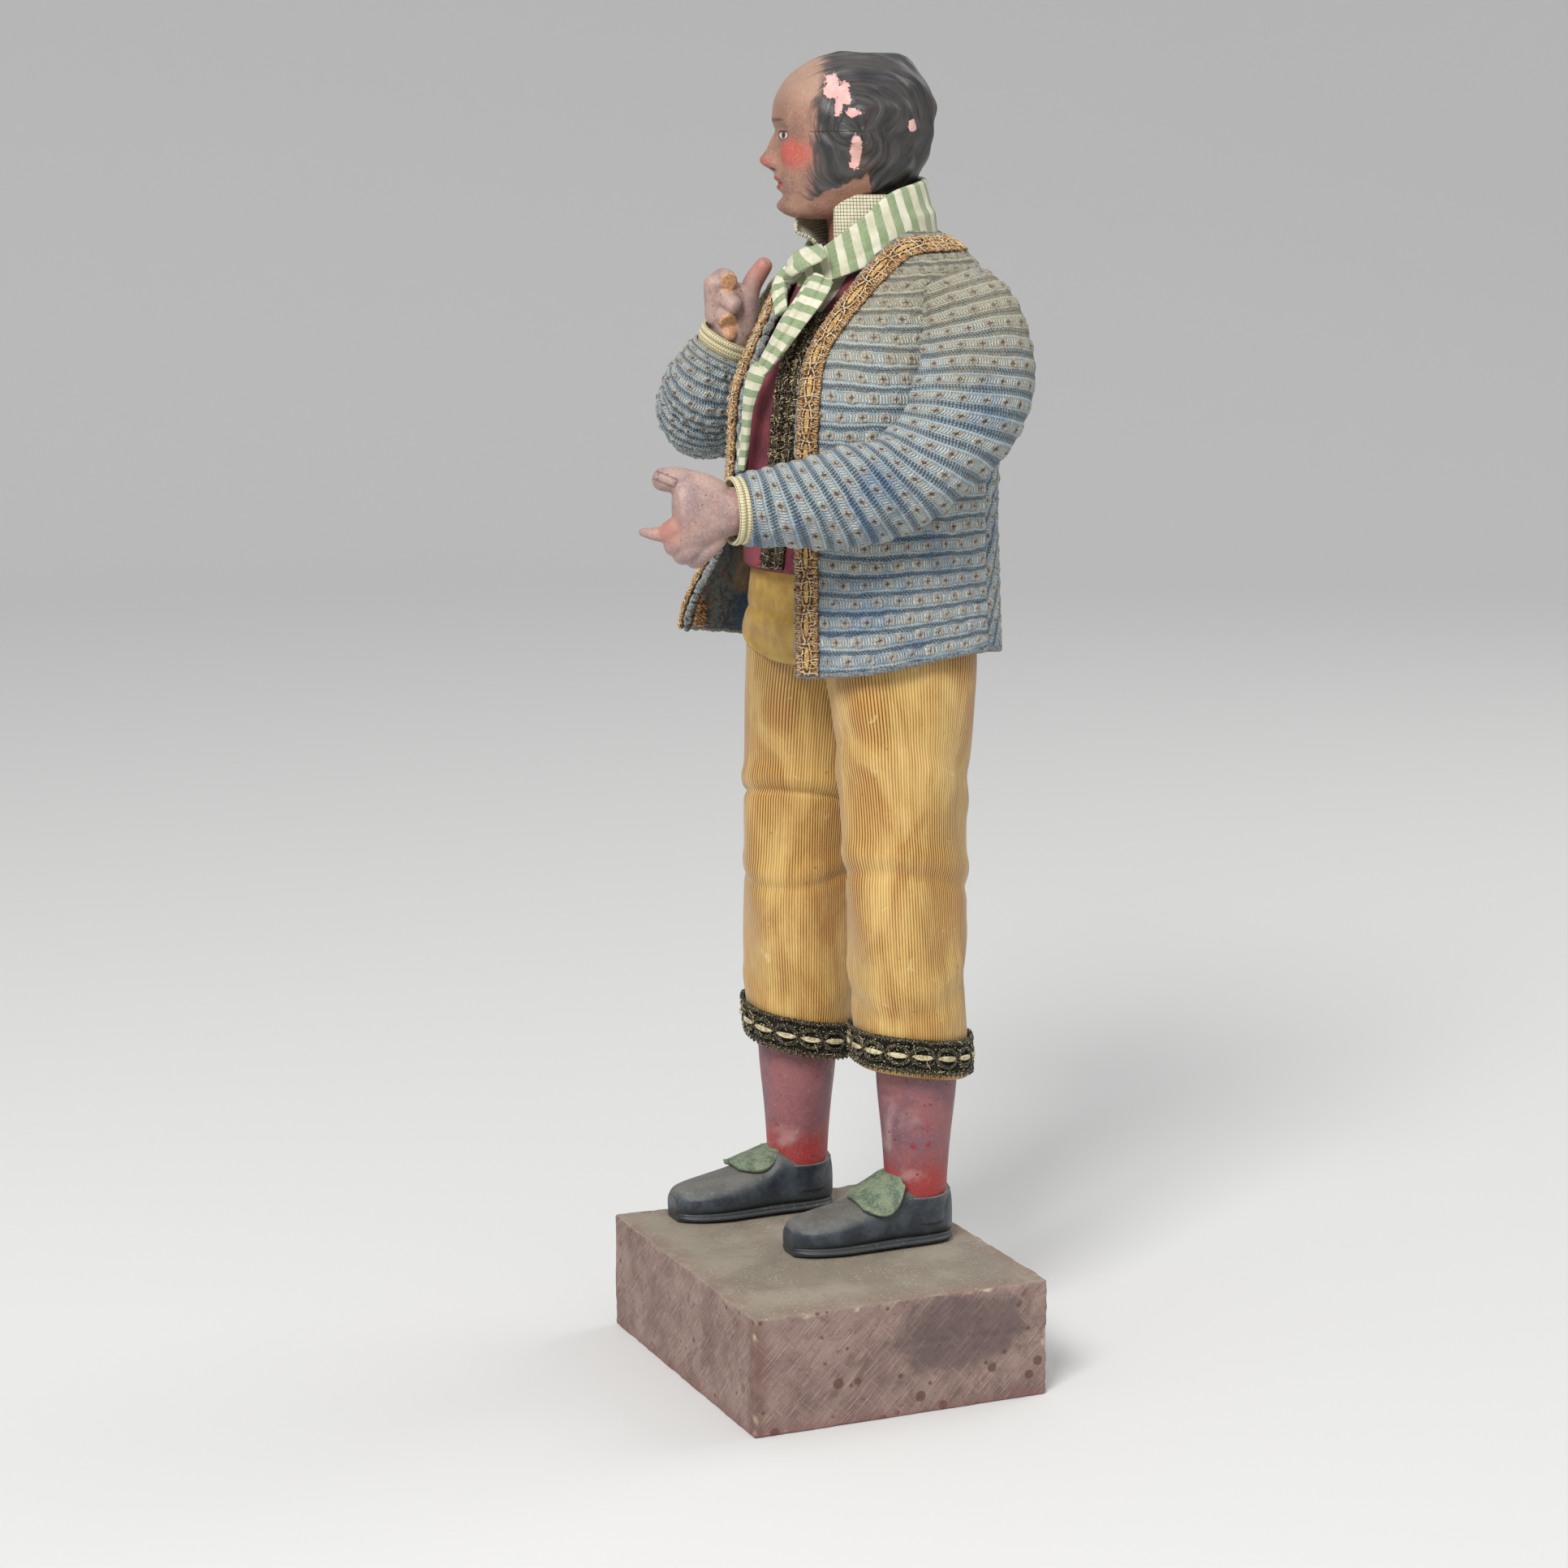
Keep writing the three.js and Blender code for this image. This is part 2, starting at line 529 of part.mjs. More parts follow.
// Sleeves: stuffed tubes set against the jacket's shoulders, with the cuff and wrist let into their ends
const ARMS = {
  left: {
    places: [
      place(34, 1, 284), place(42.4, 0.5, 272), place(45.5, -1.5, 257), place(42.6, -10, 242),
      place(38.8, -24, 230.6), place(31.5, -47, 226), place(23.2, -69, 224.4),
    ],
    radii: [
      [0, ...share(12, 12)], [0.12, ...share(16, 16)], [0.3, ...share(17.4, 17.4)],
      [0.45, ...share(14.6, 14.8)], [0.7, ...share(13.4, 14.2)], [0.9, ...share(11.6, 11.8)],
      [1, ...share(10, 10.2)],
    ],
    thumb: new THREE.Vector3(0, 0, 1),
  },
  right: {
    places: [
      place(-32.4, 3.6, 279.6), place(-44, 9, 270), place(-59, 11, 257), place(-69, 4, 247),
      place(-65, -8, 245), place(-53.5, -17.2, 253.5), place(-47, -15.2, 265.5),
    ],
    radii: [
      [0, ...share(11.5, 11.5)], [0.15, ...share(13.2, 13.2)], [0.4, ...share(14.2, 14.2)],
      [0.65, ...share(14.4, 14.4)], [0.85, ...share(12.4, 12.4)], [1, ...share(9.6, 9.8)],
    ],
    thumb: new THREE.Vector3(0.66, 0.75, 0),
  },
};

// The end of a sleeve: place, direction, and the hand's widthways and thumb directions.
function sleeveEnd(side) {
  const curve = new THREE.CatmullRomCurve3(ARMS[side].places);
  const direction = curve.getTangentAt(1);
  const across = new THREE.Vector3().crossVectors(ARMS[side].thumb, direction).normalize();
  const thumb = new THREE.Vector3().crossVectors(direction, across);
  return { end: curve.getPointAt(1), direction, across, thumb };
}

// All that the jacket's body fills, with its hollow, grown by a clearance.
function jacketVolume(clearance) {
  return loft(JACKET_ROWS.map((row) =>
    Array.from({ length: JACKET_COLUMNS + 1 }, (_, k) => {
      const u = k / JACKET_COLUMNS;
      return jacketPoint(u, row).addScaledVector(outwardOf(jacketPoint, u, row), CLOTH_WALL + clearance);
    })));
}

function armPieces(side) {
  const { end, direction } = sleeveEnd(side);
  const along = (distance) => end.clone().addScaledVector(direction, distance);
  const cuffInner = WRIST_RADIUS + FIT;
  const cuffOuter = cuffInner + LINEN_WALL;
  const { places, radii } = ARMS[side];
  const stuffed = tube(places, radii, { steps: 14, roundStart: true, roundEnd: false });
  const socket = rod(along(-SOCKET_DEPTH - FIT), along(5), cuffOuter + FIT, 20);
  const sleeve = stuffed.subtract(jacketVolume(3 * FIT)).subtract(socket);
  const cuff = rod(along(-SOCKET_DEPTH), along(CUFF_LENGTH), cuffOuter, 20)
    .subtract(rod(along(-SOCKET_DEPTH - 1), along(CUFF_LENGTH + 1), cuffInner, 20));
  return [
    piece(`jacket_sleeve_${side}`, biggest(sleeve), 0x8fa0ad, 0.95),
    piece(`shirt_cuff_${side}`, cuff, 0xd8d3b8, 0.85),
  ];
}

// The largest body of a solid that a cut left in several.
function biggest(solid) {
  return solid.decompose().sort((a, b) => b.volume() - a.volume())[0];
}

// Hands, modelled along +X from the wrist with the thumb's side up and the back of the hand at +Y or -Y
function finger(places, thick, thin, blunt = false) {
  const sizes = [[0, ...share(thick, thick)], [1, ...share(thin, thin)]];
  const ends = { roundStart: true, roundEnd: !blunt };
  return tube(places.map((p) => place(...p)), sizes, { steps: 3, sides: 6, ...ends });
}

// Wrist and palm, leaning downwards along their length: stations of height and thickness in wrist radii.
function palmSolid(length, stations, leanAt) {
  const sizeAt = course(stations);
  const start = -SOCKET_DEPTH - CUFF_LENGTH + FIT;
  const rows = 7;
  return loft(Array.from({ length: rows + 1 }, (_, row) => {
    const x = start + (row / rows) * (length * unit - start);
    const [high, wide] = sizeAt(row / rows);
    return Array.from({ length: LIMB_SIDES }, (_, k) => {
      const angle = (k / LIMB_SIDES) * 2 * Math.PI;
      return new THREE.Vector3(
        x,
        Math.cos(angle) * wide * WRIST_RADIUS,
        Math.sin(angle) * high * WRIST_RADIUS - leanAt(x / unit) * unit);
    });
  }));
}

// The left hand: thumb forward above, one finger pointing forward below, the others folded in.
function leftHand() {
  const palm = palmSolid(17, [
    [0, 0.98, 0.98], [0.37, 0.98, 0.98], [0.5, 1.06, 0.88],
    [0.75, 1.45, 0.76], [0.92, 1.4, 0.66], [1, 1.0, 0.5],
  ], () => 0);
  return join(
    palm,
    finger([[4, 0, 5.4], [8, -1, 7.8], [12.5, -2, 9.4], [18.4, -3, 10.6]], 3.9, 3.4),
    finger([[10, -1, -3], [16, -4, -5], [21, -5.2, -4.8], [24.2, -5.4, -4.2]], 3.0, 1.4),
    finger([[8, 0, -1.4], [14.6, -0.6, -2.6], [17.2, -3, -4.2], [15, -6.6, -5]], 3.4, 2.9),
    finger([[10, 0, -4.8], [14.6, -0.4, -7.4], [16, -4.4, -8.8], [12, -7.2, -8.4]], 3.1, 2.6),
    finger([[7.5, 0, -7], [12, -0.4, -10], [13, -4.4, -11.4], [9.6, -7, -10.6]], 3.0, 2.5),
    finger([[4.5, 0, -7], [8.6, -0.4, -11], [9.8, -4, -12.8], [6.6, -6.6, -11.6]], 2.8, 2.4),
    ball(place(9.4, -3.4, -6), share(5.4, 4, 6.5), 8),
    ball(place(13.4, -3.2, -5.6), share(3, 2.4, 4), 8));
}

// The right hand: palm open to the left, thumb raised, its curled fingers broken off short.
function rightHand() {
  const leanAt = (x) => 0.5 * Math.max(0, x);
  const leaning = (places) => places.map(([x, y, z]) => [x, y, z - leanAt(x)]);
  const palm = palmSolid(16, [
    [0, 0.98, 0.98], [0.42, 0.98, 0.98], [0.6, 1.12, 0.8], [0.85, 1.1, 0.66], [1, 0.75, 0.44],
  ], leanAt);
  return join(
    palm,
    finger(leaning([[4, 1, 4], [10, 0.6, 5.2], [17, 0, 7], [24, 0, 11.2]]), 3.8, 2.5),
    finger(leaning([[9, -3, -2.8], [12.8, -1.6, -3.4], [15.8, 1.8, -2.2], [16.2, 5, 0.2]]), 3.1, 2.8, true),
    finger(leaning([[6.4, -3, -4], [9.6, -1, -5.2], [11, 3, -3.4], [10.8, 6.3, 1]]), 3.1, 2.8),
    finger(leaning([[4, -2, -4.8], [6.6, 0, -6.2], [7, 4.4, -4.8], [5.8, 7, -0.8]]), 3.1, 2.9, true),
    finger(leaning([[3, -1, -3], [3.6, 1.4, -4.8], [3.8, 4.8, -3.6], [3.6, 6.6, -0.4]]), 2.9, 2.6, true),
    ball(place(9, 2, -5.6), share(7.5, 3.6, 4), 8));
}

function handPiece(side, solid) {
  const made = piece(`hand_${side}`, solid, 0xb08a80, 0.6);
  const { end, direction, across, thumb } = sleeveEnd(side);
  made.quaternion.setFromRotationMatrix(new THREE.Matrix4().makeBasis(direction, across, thumb));
  made.position.copy(end).addScaledVector(direction, CUFF_LENGTH);
  return made;
}

// Neckerchief: a folded strip round the collar, knotted in front, with its ends hanging over the waistcoat
// Stations round the neck in degrees: distance from the neck's middle, height, width of the band.
const kerchiefRow = course([
  [-96, 23.4, 288.0, 6.6], [-74, 19.4, 292.0, 11.4], [-45, 17.4, 297.4, 14.4], [-20, 17.2, 302.0, 17.6],
  [15, 17.4, 305.0, 17.8], [50, 17.6, 306.6, 17.0], [90, 17.8, 307.4, 16.5], [135, 17.6, 305.6, 16.0],
  [180, 17.2, 301.2, 15.0], [210, 17.0, 297.4, 13.0], [236, 18.4, 293.2, 10.5], [258, 23.4, 288.5, 6.0],
]);
function kerchiefPoint(u, v) {
  const turn = -96 + 354 * u;
  const [radius, middle, width] = kerchiefRow(turn);
  const outward = (radius - 3 * (v - 0.5) * (width / 15)) * unit;
  const z = (middle + (v - 0.5) * width * 0.97) * unit;
  return new THREE.Vector3(
    NECK.x + outward * Math.cos(degrees(turn)),
    NECK.y + outward * Math.sin(degrees(turn)),
    z);
}

function kerchiefPiece() {
  const band = sheet(kerchiefPoint, 26, 2, KERCHIEF_WALL).subtract(jacketVolume(BRAID_WALL + 5 * FIT));
  const knot = ball(place(-3, -24.6, 289.4), share(6.4, 4.6, 5.4), 10);
  // Stations along an end: half width, half thickness.
  const sizes = [
    [0, ...share(4.4, 2)], [0.25, ...share(5.2, 1.7)], [0.45, ...share(3.4, 1.6)],
    [0.6, ...share(3.8, 1.3)], [1, ...share(3.2, 1.1)],
  ];
  const longEnd = [
    [0, -24.6, 288], [-1.6, -28, 277], [-5, -33.4, 266], [-7.7, -36.6, 257], [-10.7, -38, 247],
    [-12.6, -38.4, 232],
  ];
  const shortEnd = [[-5, -25, 288], [-8, -26, 284.6], [-8.6, -29, 277], [-10, -32.6, 269]];
  const tails = [longEnd, shortEnd].map((places) =>
    tube(places.map((p) => place(...p)), sizes, { steps: 8, sides: 7 }));
  const solid = [torsoSolid(FIT), collarSolid(FIT), skullSolid(FIT)].reduce(
    (rest, cutter) => rest.subtract(cutter), join(band, knot, ...tails));
  return piece("neckerchief", biggest(solid), 0xa9b98c, 0.8);
}

// Head and neck: rings from the chin up to the crown, with the face and hair raised on them
// Stations by height: front, back, half width.
const headRow = course([
  [-24.0, 14.0, -2.0, 5.0], [-22.4, 17.4, 3.0, 8.6], [-19, 18.8, 10.5, 11.6], [-14, 19.2, 16.0, 14.6],
  [-8, 19.6, 20.4, 16.6], [-2, 20.2, 22.4, 17.6], [4, 21.4, 23.2, 18.2], [10, 21.2, 22.8, 18.2],
  [16, 18.0, 20.2, 16.2], [20, 13.4, 16.8, 13.0], [22.6, 8.2, 12.2, 8.8], [24, 2.0, 5.0, 3.0],
]);
const HEAD = place(-4.1, -5.6, 328);

// How far the face stands forward: nose, lips, chin, eyeballs in their hollows, brows and cheeks.
function faceRelief(x, z) {
  const s = Math.abs(x);
  const nose = 5.4 * bump(x, 0, 2.3) * bump(z, -7.2, 3.0) + 2.2 * bump(x, 0, 2.0) * bump(z, -2.4, 3.4)
    + 1.5 * bump(s, 2.6, 1.5) * bump(z, -8.2, 1.6);
  const lips = 1.5 * bump(x, 0, 3.8) * bump(z, -12.2, 1.1) + 1.3 * bump(x, 0, 3.2) * bump(z, -14.8, 1.2)
    - 0.5 * bump(x, 0, 4.2) * bump(z, -13.5, 0.6);
  const chin = 1.8 * bump(x, 0, 4.2) * bump(z, -20.4, 2.4) - 0.9 * bump(x, 0, 4) * bump(z, -17.2, 1.3);
  const eyes = 1.7 * bump(s, 6.4, 2.1) * bump(z, 0.2, 1.5) - 2.4 * bump(s, 6.4, 3.4) * bump(z, 0.6, 2.6);
  const brows = 1.1 * bump(s, 6.2, 4.6) * bump(z, 4.6, 1.7) - 0.7 * bump(x, 0, 2) * bump(z, 1.4, 1.8);
  const cheeks = 1.2 * bump(s, 9.6, 3.4) * bump(z, -5.6, 3.6);
  return nose + lips + chin + eyes + brows + cheeks;
}

// How far the hair stands out: full over the ears and at the back, gone above the forehead.
function hairRelief(turn, z) {
  const behind = THREE.MathUtils.smoothstep(turn, 62, 84);
  const sides = 2.2 * bump(turn, 98, 24) * bump(z, 2, 9);
  const back = 1.6 * THREE.MathUtils.smoothstep(turn, 110, 150);
  const low = THREE.MathUtils.smoothstep(z, -19, -12);
  const locks = 0.35 * Math.sin(z * 0.5 + turn * 0.09);
  return behind * low * (0.9 + sides + back + locks);
}

function headPoint(angle, z) {
  const [front, back, halfWidth] = headRow(z);
  const c = Math.cos(angle);
  const s = Math.sin(angle);
  const turn = THREE.MathUtils.radToDeg(Math.acos(-s));
  const hair = hairRelief(turn, z);
  const x = (halfWidth + hair) * c;
  const face = (front + hair * 0.5) * -s + faceRelief(x, z) * Math.min(1, 1.6 * -s);
  const forward = s < 0 ? face : -(back + hair) * s;
  return new THREE.Vector3(x, -forward, z);
}

function skullSolid(grown = 0) {
  const rows = 20;
  const columns = 26;
  const size = 1 + grown / (17 * unit);
  return loft(Array.from({ length: rows + 1 }, (_, row) => {
    const z = -24 * Math.cos((row / rows) * Math.PI);
    return Array.from({ length: columns }, (_, k) => {
      const turn = (k / columns) * 2 * Math.PI;
      return headPoint(turn + 0.35 * Math.cos(turn), z).multiplyScalar(unit * size);
    });
  })).rotate([0, 0, HEAD_TURN]).translate(HEAD.toArray());
}

function headPiece() {
  const places = [
    new THREE.Vector3(NECK.x, NECK.y, NECK_SEAT),
    new THREE.Vector3(NECK.x, NECK.y, 304 * unit),
    place(-2.4, -2.4, 320),
  ];
  const neck = tube(places, [[0, NECK.radius, NECK.radius], [1, NECK.radius, NECK.radius]],
    { steps: 4, sides: 20, roundEnd: false });
  return piece("head", join(skullSolid(), neck), 0xa8705c, 0.6);
}

// Assembly: the figure stands on the block, turned with its chest
const figure = new THREE.Group();
figure.position.set(STAND_INWARD - BLOCK_WIDTH / 2, BLOCK_DEPTH / 2 - STAND_FORWARD, BLOCK_HEIGHT + FIT);
figure.rotation.z = degrees(BODY_TURN);
const { waistcoat, shirt } = upperBody();
figure.add(
  breechesPiece(),
  waistcoat,
  shirt,
  chestBraidPiece("waistcoat_braid_left", FIT),
  chestBraidPiece("waistcoat_braid_right", -CHEST_BRAID_WIDTH - FIT),
  jacketPiece(),
  jacketBraidPiece(),
  kerchiefPiece(),
  headPiece(),
);
for (const [side, hand] of [["left", leftHand()], ["right", rightHand()]])
  figure.add(legPiece(side), kneeBraidPiece(side), ...armPieces(side), handPiece(side, hand));

const whole = new THREE.Group();
whole.add(blockPiece(), figure);
export default whole;
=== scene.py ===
import math
import bpy
import numpy as np
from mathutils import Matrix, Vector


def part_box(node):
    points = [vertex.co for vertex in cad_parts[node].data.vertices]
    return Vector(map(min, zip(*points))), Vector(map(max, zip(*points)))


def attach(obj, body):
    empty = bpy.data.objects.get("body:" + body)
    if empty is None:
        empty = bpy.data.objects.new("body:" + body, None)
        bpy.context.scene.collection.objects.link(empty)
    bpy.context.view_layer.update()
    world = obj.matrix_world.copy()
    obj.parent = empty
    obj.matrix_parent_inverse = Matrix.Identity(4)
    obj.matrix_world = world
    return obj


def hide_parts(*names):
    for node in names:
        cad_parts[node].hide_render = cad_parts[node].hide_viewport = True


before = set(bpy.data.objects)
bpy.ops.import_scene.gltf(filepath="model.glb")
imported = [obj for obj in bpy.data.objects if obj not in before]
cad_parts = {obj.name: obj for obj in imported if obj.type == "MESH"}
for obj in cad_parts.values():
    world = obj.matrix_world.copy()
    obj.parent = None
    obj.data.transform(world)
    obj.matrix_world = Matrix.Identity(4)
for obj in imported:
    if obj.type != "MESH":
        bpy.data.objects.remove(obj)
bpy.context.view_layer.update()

# View
# The camera stands to the figure's left, a little above the middle of the figure, with a long lens.
camera_data = bpy.data.cameras.new("camera")
camera_data.sensor_width = 36
camera_data.lens = 79.86
camera = bpy.data.objects.new("camera", camera_data)
camera.location = (0.9163, -0.4137, 0.3542)
camera.rotation_euler = (math.radians(90 - 10.05), 0, math.radians(66.4))
bpy.context.scene.collection.objects.link(camera)
bpy.context.scene.camera = camera
bpy.context.scene.view_settings.view_transform = "Standard"

# Floor and light
# A pale matt floor that rises far away on all sides like a bowl, a white room light, one soft lamp above
# the camera and a weaker one behind on the right.
LEVEL_FLOOR_RADIUS, FLOOR_STEEPNESS = 2.0, 0.45


def read_spots(piece, what="co"):
    """Where the points of a piece are, or with "normal" which way they face."""
    spots = np.zeros(len(piece.data.vertices) * 3)
    piece.data.vertices.foreach_get(what, spots)
    return spots.reshape(-1, 3)


def move_spots(piece, spots):
    piece.data.vertices.foreach_set("co", spots.ravel())


bpy.ops.object.select_all(action="DESELECT")
bpy.ops.mesh.primitive_grid_add(x_subdivisions=80, y_subdivisions=80, size=9, location=(0, 0, 0))
floor = bpy.context.object
floor.name = "floor"
spots = read_spots(floor)
beyond = np.maximum(0, np.hypot(spots[:, 0], spots[:, 1]) - LEVEL_FLOOR_RADIUS)
spots[:, 2] = FLOOR_STEEPNESS * beyond ** 2
move_spots(floor, spots)
bpy.ops.object.shade_smooth()
floor_paint = bpy.data.materials.new("pale_floor")
floor_paint.use_nodes = True
shader = floor_paint.node_tree.nodes["Principled BSDF"]
shader.inputs["Base Color"].default_value = (0.72, 0.71, 0.69, 1)
shader.inputs["Roughness"].default_value = 0.9
floor.data.materials.append(floor_paint)
room = bpy.data.worlds.new("room")
room.use_nodes = True
light = room.node_tree.nodes["Background"]
light.inputs["Color"].default_value = (0.93, 0.96, 1.0, 1)
light.inputs["Strength"].default_value = 0.66
bpy.context.scene.world = room
LAMPS = (("main_lamp", (0.95, -0.95, 1.35), 0.6, 27), ("back_lamp", (-0.2, 1.3, 1.3), 0.9, 7))
LIT_PLACE = np.array([0, 0, 0.2])
for name, place, size, energy in LAMPS:
    lamp_data = bpy.data.lights.new(name, "AREA")
    lamp_data.size = size
    lamp_data.energy = energy
    lamp = bpy.data.objects.new(name, lamp_data)
    lamp.location = place
    away = LIT_PLACE - place
    tilt = math.atan2(np.hypot(away[0], away[1]), -away[2])
    lamp.rotation_euler = (tilt, 0, math.atan2(away[1], away[0]) - math.pi / 2)
    bpy.context.scene.collection.objects.link(lamp)


# Block
# A sawn piece of softwood, painted a dull reddish brown and dusty on top, with worn edges and chips down
# to a cream ground. The figure's soles are pinned to it.
class Strand:
    """A number or colour on its way through a finish. Sums and products of strands add the nodes."""

    def __init__(self, finish, socket):
        self.finish = finish
        self.socket = socket

    def math(self, operation, *others):
        node = self.finish.nodes.new("ShaderNodeMath")
        node.operation = operation
        for place, value in enumerate((self, *others)):
            self.finish.feed(node.inputs[place], value)
        return Strand(self.finish, node.outputs[0])

    def __add__(self, other):
        return self.math("ADD", other)

    def __sub__(self, other):
        return self.math("SUBTRACT", other)

    def __mul__(self, other):
        return self.math("MULTIPLY", other)

    def __truediv__(self, other):
        return self.math("DIVIDE", other)

    def wave(self, length, shift=None):
        """A sine wave with a length in mm, from -1 to 1."""
        turns = self * (2 * math.pi / length)
        return (turns if shift is None else turns + shift).math("SINE")

    def root(self):
        return self.math("SQRT")

    def size(self):
        return self.math("ABSOLUTE")

    def part(self):
        return self.math("FRACT")

    def least(self, other):
        return self.math("MINIMUM", other)

    def most(self, other):
        return self.math("MAXIMUM", other)

    def rise(self, low, high):
        """0 below low, 1 above high, smooth between them; low may be the larger."""
        node = self.finish.nodes.new("ShaderNodeMapRange")
        node.interpolation_type = "SMOOTHSTEP"
        turned = low > high
        self.finish.feed(node.inputs["Value"], self)
        node.inputs["From Min"].default_value = min(low, high)
        node.inputs["From Max"].default_value = max(low, high)
        node.inputs["To Min"].default_value = 1 if turned else 0
        node.inputs["To Max"].default_value = 0 if turned else 1
        return Strand(self.finish, node.outputs["Result"])


class Finish:
    """A material, with the few patterns that the finishes of this figure are mixed from. Sizes are in mm."""

    def __init__(self, name, **sockets):
        self.material = bpy.data.materials.new(name)
        self.material.use_nodes = True
        self.nodes = self.material.node_tree.nodes
        self.links = self.material.node_tree.links
        self.shader = self.nodes["Principled BSDF"]
        for socket, value in sockets.items():
            self.shader.inputs[socket.replace("_", " ")].default_value = value

    def feed(self, socket, value):
        if isinstance(value, Strand):
            self.links.new(value.socket, socket)
        elif isinstance(value, tuple):
            socket.default_value = (*value, 1)
        else:
            socket.default_value = value

    def place(self):
        """Where a point lies on the object, in mm."""
        node = self.nodes.new("ShaderNodeVectorMath")
        node.operation = "SCALE"
        node.inputs["Scale"].default_value = 1000
        self.links.new(self.nodes.new("ShaderNodeTexCoord").outputs["Object"], node.inputs[0])
        return Strand(self, node.outputs[0])

    def cloth(self):
        """Where a point lies on the cloth, in mm along it and across it."""
        return self.split(Strand(self, self.nodes.new("ShaderNodeTexCoord").outputs["UV"]))[:2]

    def split(self, where):
        node = self.nodes.new("ShaderNodeSeparateXYZ")
        self.links.new(where.socket, node.inputs[0])
        return [Strand(self, output) for output in node.outputs]

    def joined(self, x, y, z=0.0):
        node = self.nodes.new("ShaderNodeCombineXYZ")
        for socket, value in zip(node.inputs, (x, y, z)):
            self.feed(socket, value)
        return Strand(self, node.outputs[0])

    def stretched(self, where, *shares):
        return self.joined(*(part * share for part, share in zip(self.split(where), shares)))

    def cloud(self, where, size, detail=3.0, roughness=0.5, distortion=0.0):
        """A soft uneven pattern. A tuple of strands stands for the place made of them."""
        node = self.nodes.new("ShaderNodeTexNoise")
        where = self.joined(*where) if isinstance(where, tuple) else where
        self.links.new(where.socket, node.inputs["Vector"])
        node.inputs["Scale"].default_value = 1 / size
        node.inputs["Detail"].default_value = detail
        node.inputs["Roughness"].default_value = roughness
        node.inputs["Distortion"].default_value = distortion
        return Strand(self, node.outputs["Fac"])

    def grains(self, where, size):
        """How far a point is from the nearest of many scattered spots, as a share of their spacing."""
        node = self.nodes.new("ShaderNodeTexVoronoi")
        self.links.new(where.socket, node.inputs["Vector"])
        node.inputs["Scale"].default_value = 1 / size
        return Strand(self, node.outputs["Distance"])

    def mix(self, share, first, second):
        node = self.nodes.new("ShaderNodeMix")
        node.data_type = "RGBA"
        self.feed(node.inputs["Factor"], share)
        self.feed(node.inputs[6], first)
        self.feed(node.inputs[7], second)
        return Strand(self, node.outputs[2])

    def coats(self, ground, *coats):
        """Coats of paint over a ground, each (how much of it shows, red, green, blue as seen)."""
        colour = tint(*ground) if isinstance(ground, tuple) else ground
        for share, *paint in coats:
            colour = self.mix(share, colour, tint(*paint))
        return colour

    def marked(self, name):
        """The three numbers that mark() kept on a piece."""
        node = self.nodes.new("ShaderNodeAttribute")
        node.attribute_name = name
        return self.split(Strand(self, node.outputs["Vector"]))

    def upward(self):
        """How far a face looks up, from -1 to 1."""
        node = self.nodes.new("ShaderNodeNewGeometry")
        return self.split(Strand(self, node.outputs["Normal"]))[2]

    def done(self, colour, relief=None, depth=0.1, roughness=None, metal=None):
        self.links.new(colour.socket, self.shader.inputs["Base Color"])
        if roughness is not None:
            self.links.new(roughness.socket, self.shader.inputs["Roughness"])
        if metal is not None:
            self.links.new(metal.socket, self.shader.inputs["Metallic"])
        if relief is not None:
            node = self.nodes.new("ShaderNodeBump")
            node.inputs["Distance"].default_value = depth / 1000
            node.inputs["Strength"].default_value = 1
            self.links.new(relief.socket, node.inputs["Height"])
            self.links.new(node.outputs["Normal"], self.shader.inputs["Normal"])
        return self.material


def tint(red, green, blue):
    """A paint colour as seen, from 11 to 255 each, as the shader takes it."""
    return tuple(((part / 255 + 0.055) / 1.055) ** 2.4 for part in (red, green, blue))


def waves(points, size, seed, count=7):
    """A smooth uneven number from about -1 to 1 at each point, made of waves in fixed odd directions."""
    odd = np.random.RandomState(seed)
    total = np.zeros(points.shape[:-1])
    for step in range(count):
        direction = odd.normal(size=3)
        direction /= np.linalg.norm(direction)
        length = size * (0.55 + 0.9 * odd.rand())
        total += np.sin(points @ direction * (2 * np.pi / length) + odd.rand() * 2 * np.pi)
    return total / math.sqrt(count) * 0.9


def ramp(x, low, high):
    """0 up to low, 1 from high on, smooth between them; low may be the larger."""
    s = np.clip((x - low) / (high - low), 0, 1)
    return s * s * (3 - 2 * s)


def bump(x, middle, spread):
    """1 at the middle, falling to nothing on both sides."""
    return np.exp(-(((x - middle) / spread) ** 2))


def unit(arrows):
    """The same directions, 1 long."""
    return arrows / np.maximum(np.linalg.norm(arrows, axis=-1, keepdims=True), 1e-9)


def mark(piece, name, *values):
    """Keeps three numbers for every point of a piece, for its finish."""
    kept = piece.data.attributes.new(name, "FLOAT_VECTOR", "POINT")
    kept.data.foreach_set("vector", np.stack(values, 1).ravel().astype(np.float32))


def finish_piece(piece, material, slot, *nodes):
    """Gives a piece its finish and body, and hides the plain solids that it stands for."""
    piece.data.materials.clear()
    piece.data.materials.append(material)
    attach(piece, "root")
    if nodes:
        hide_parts(*nodes)


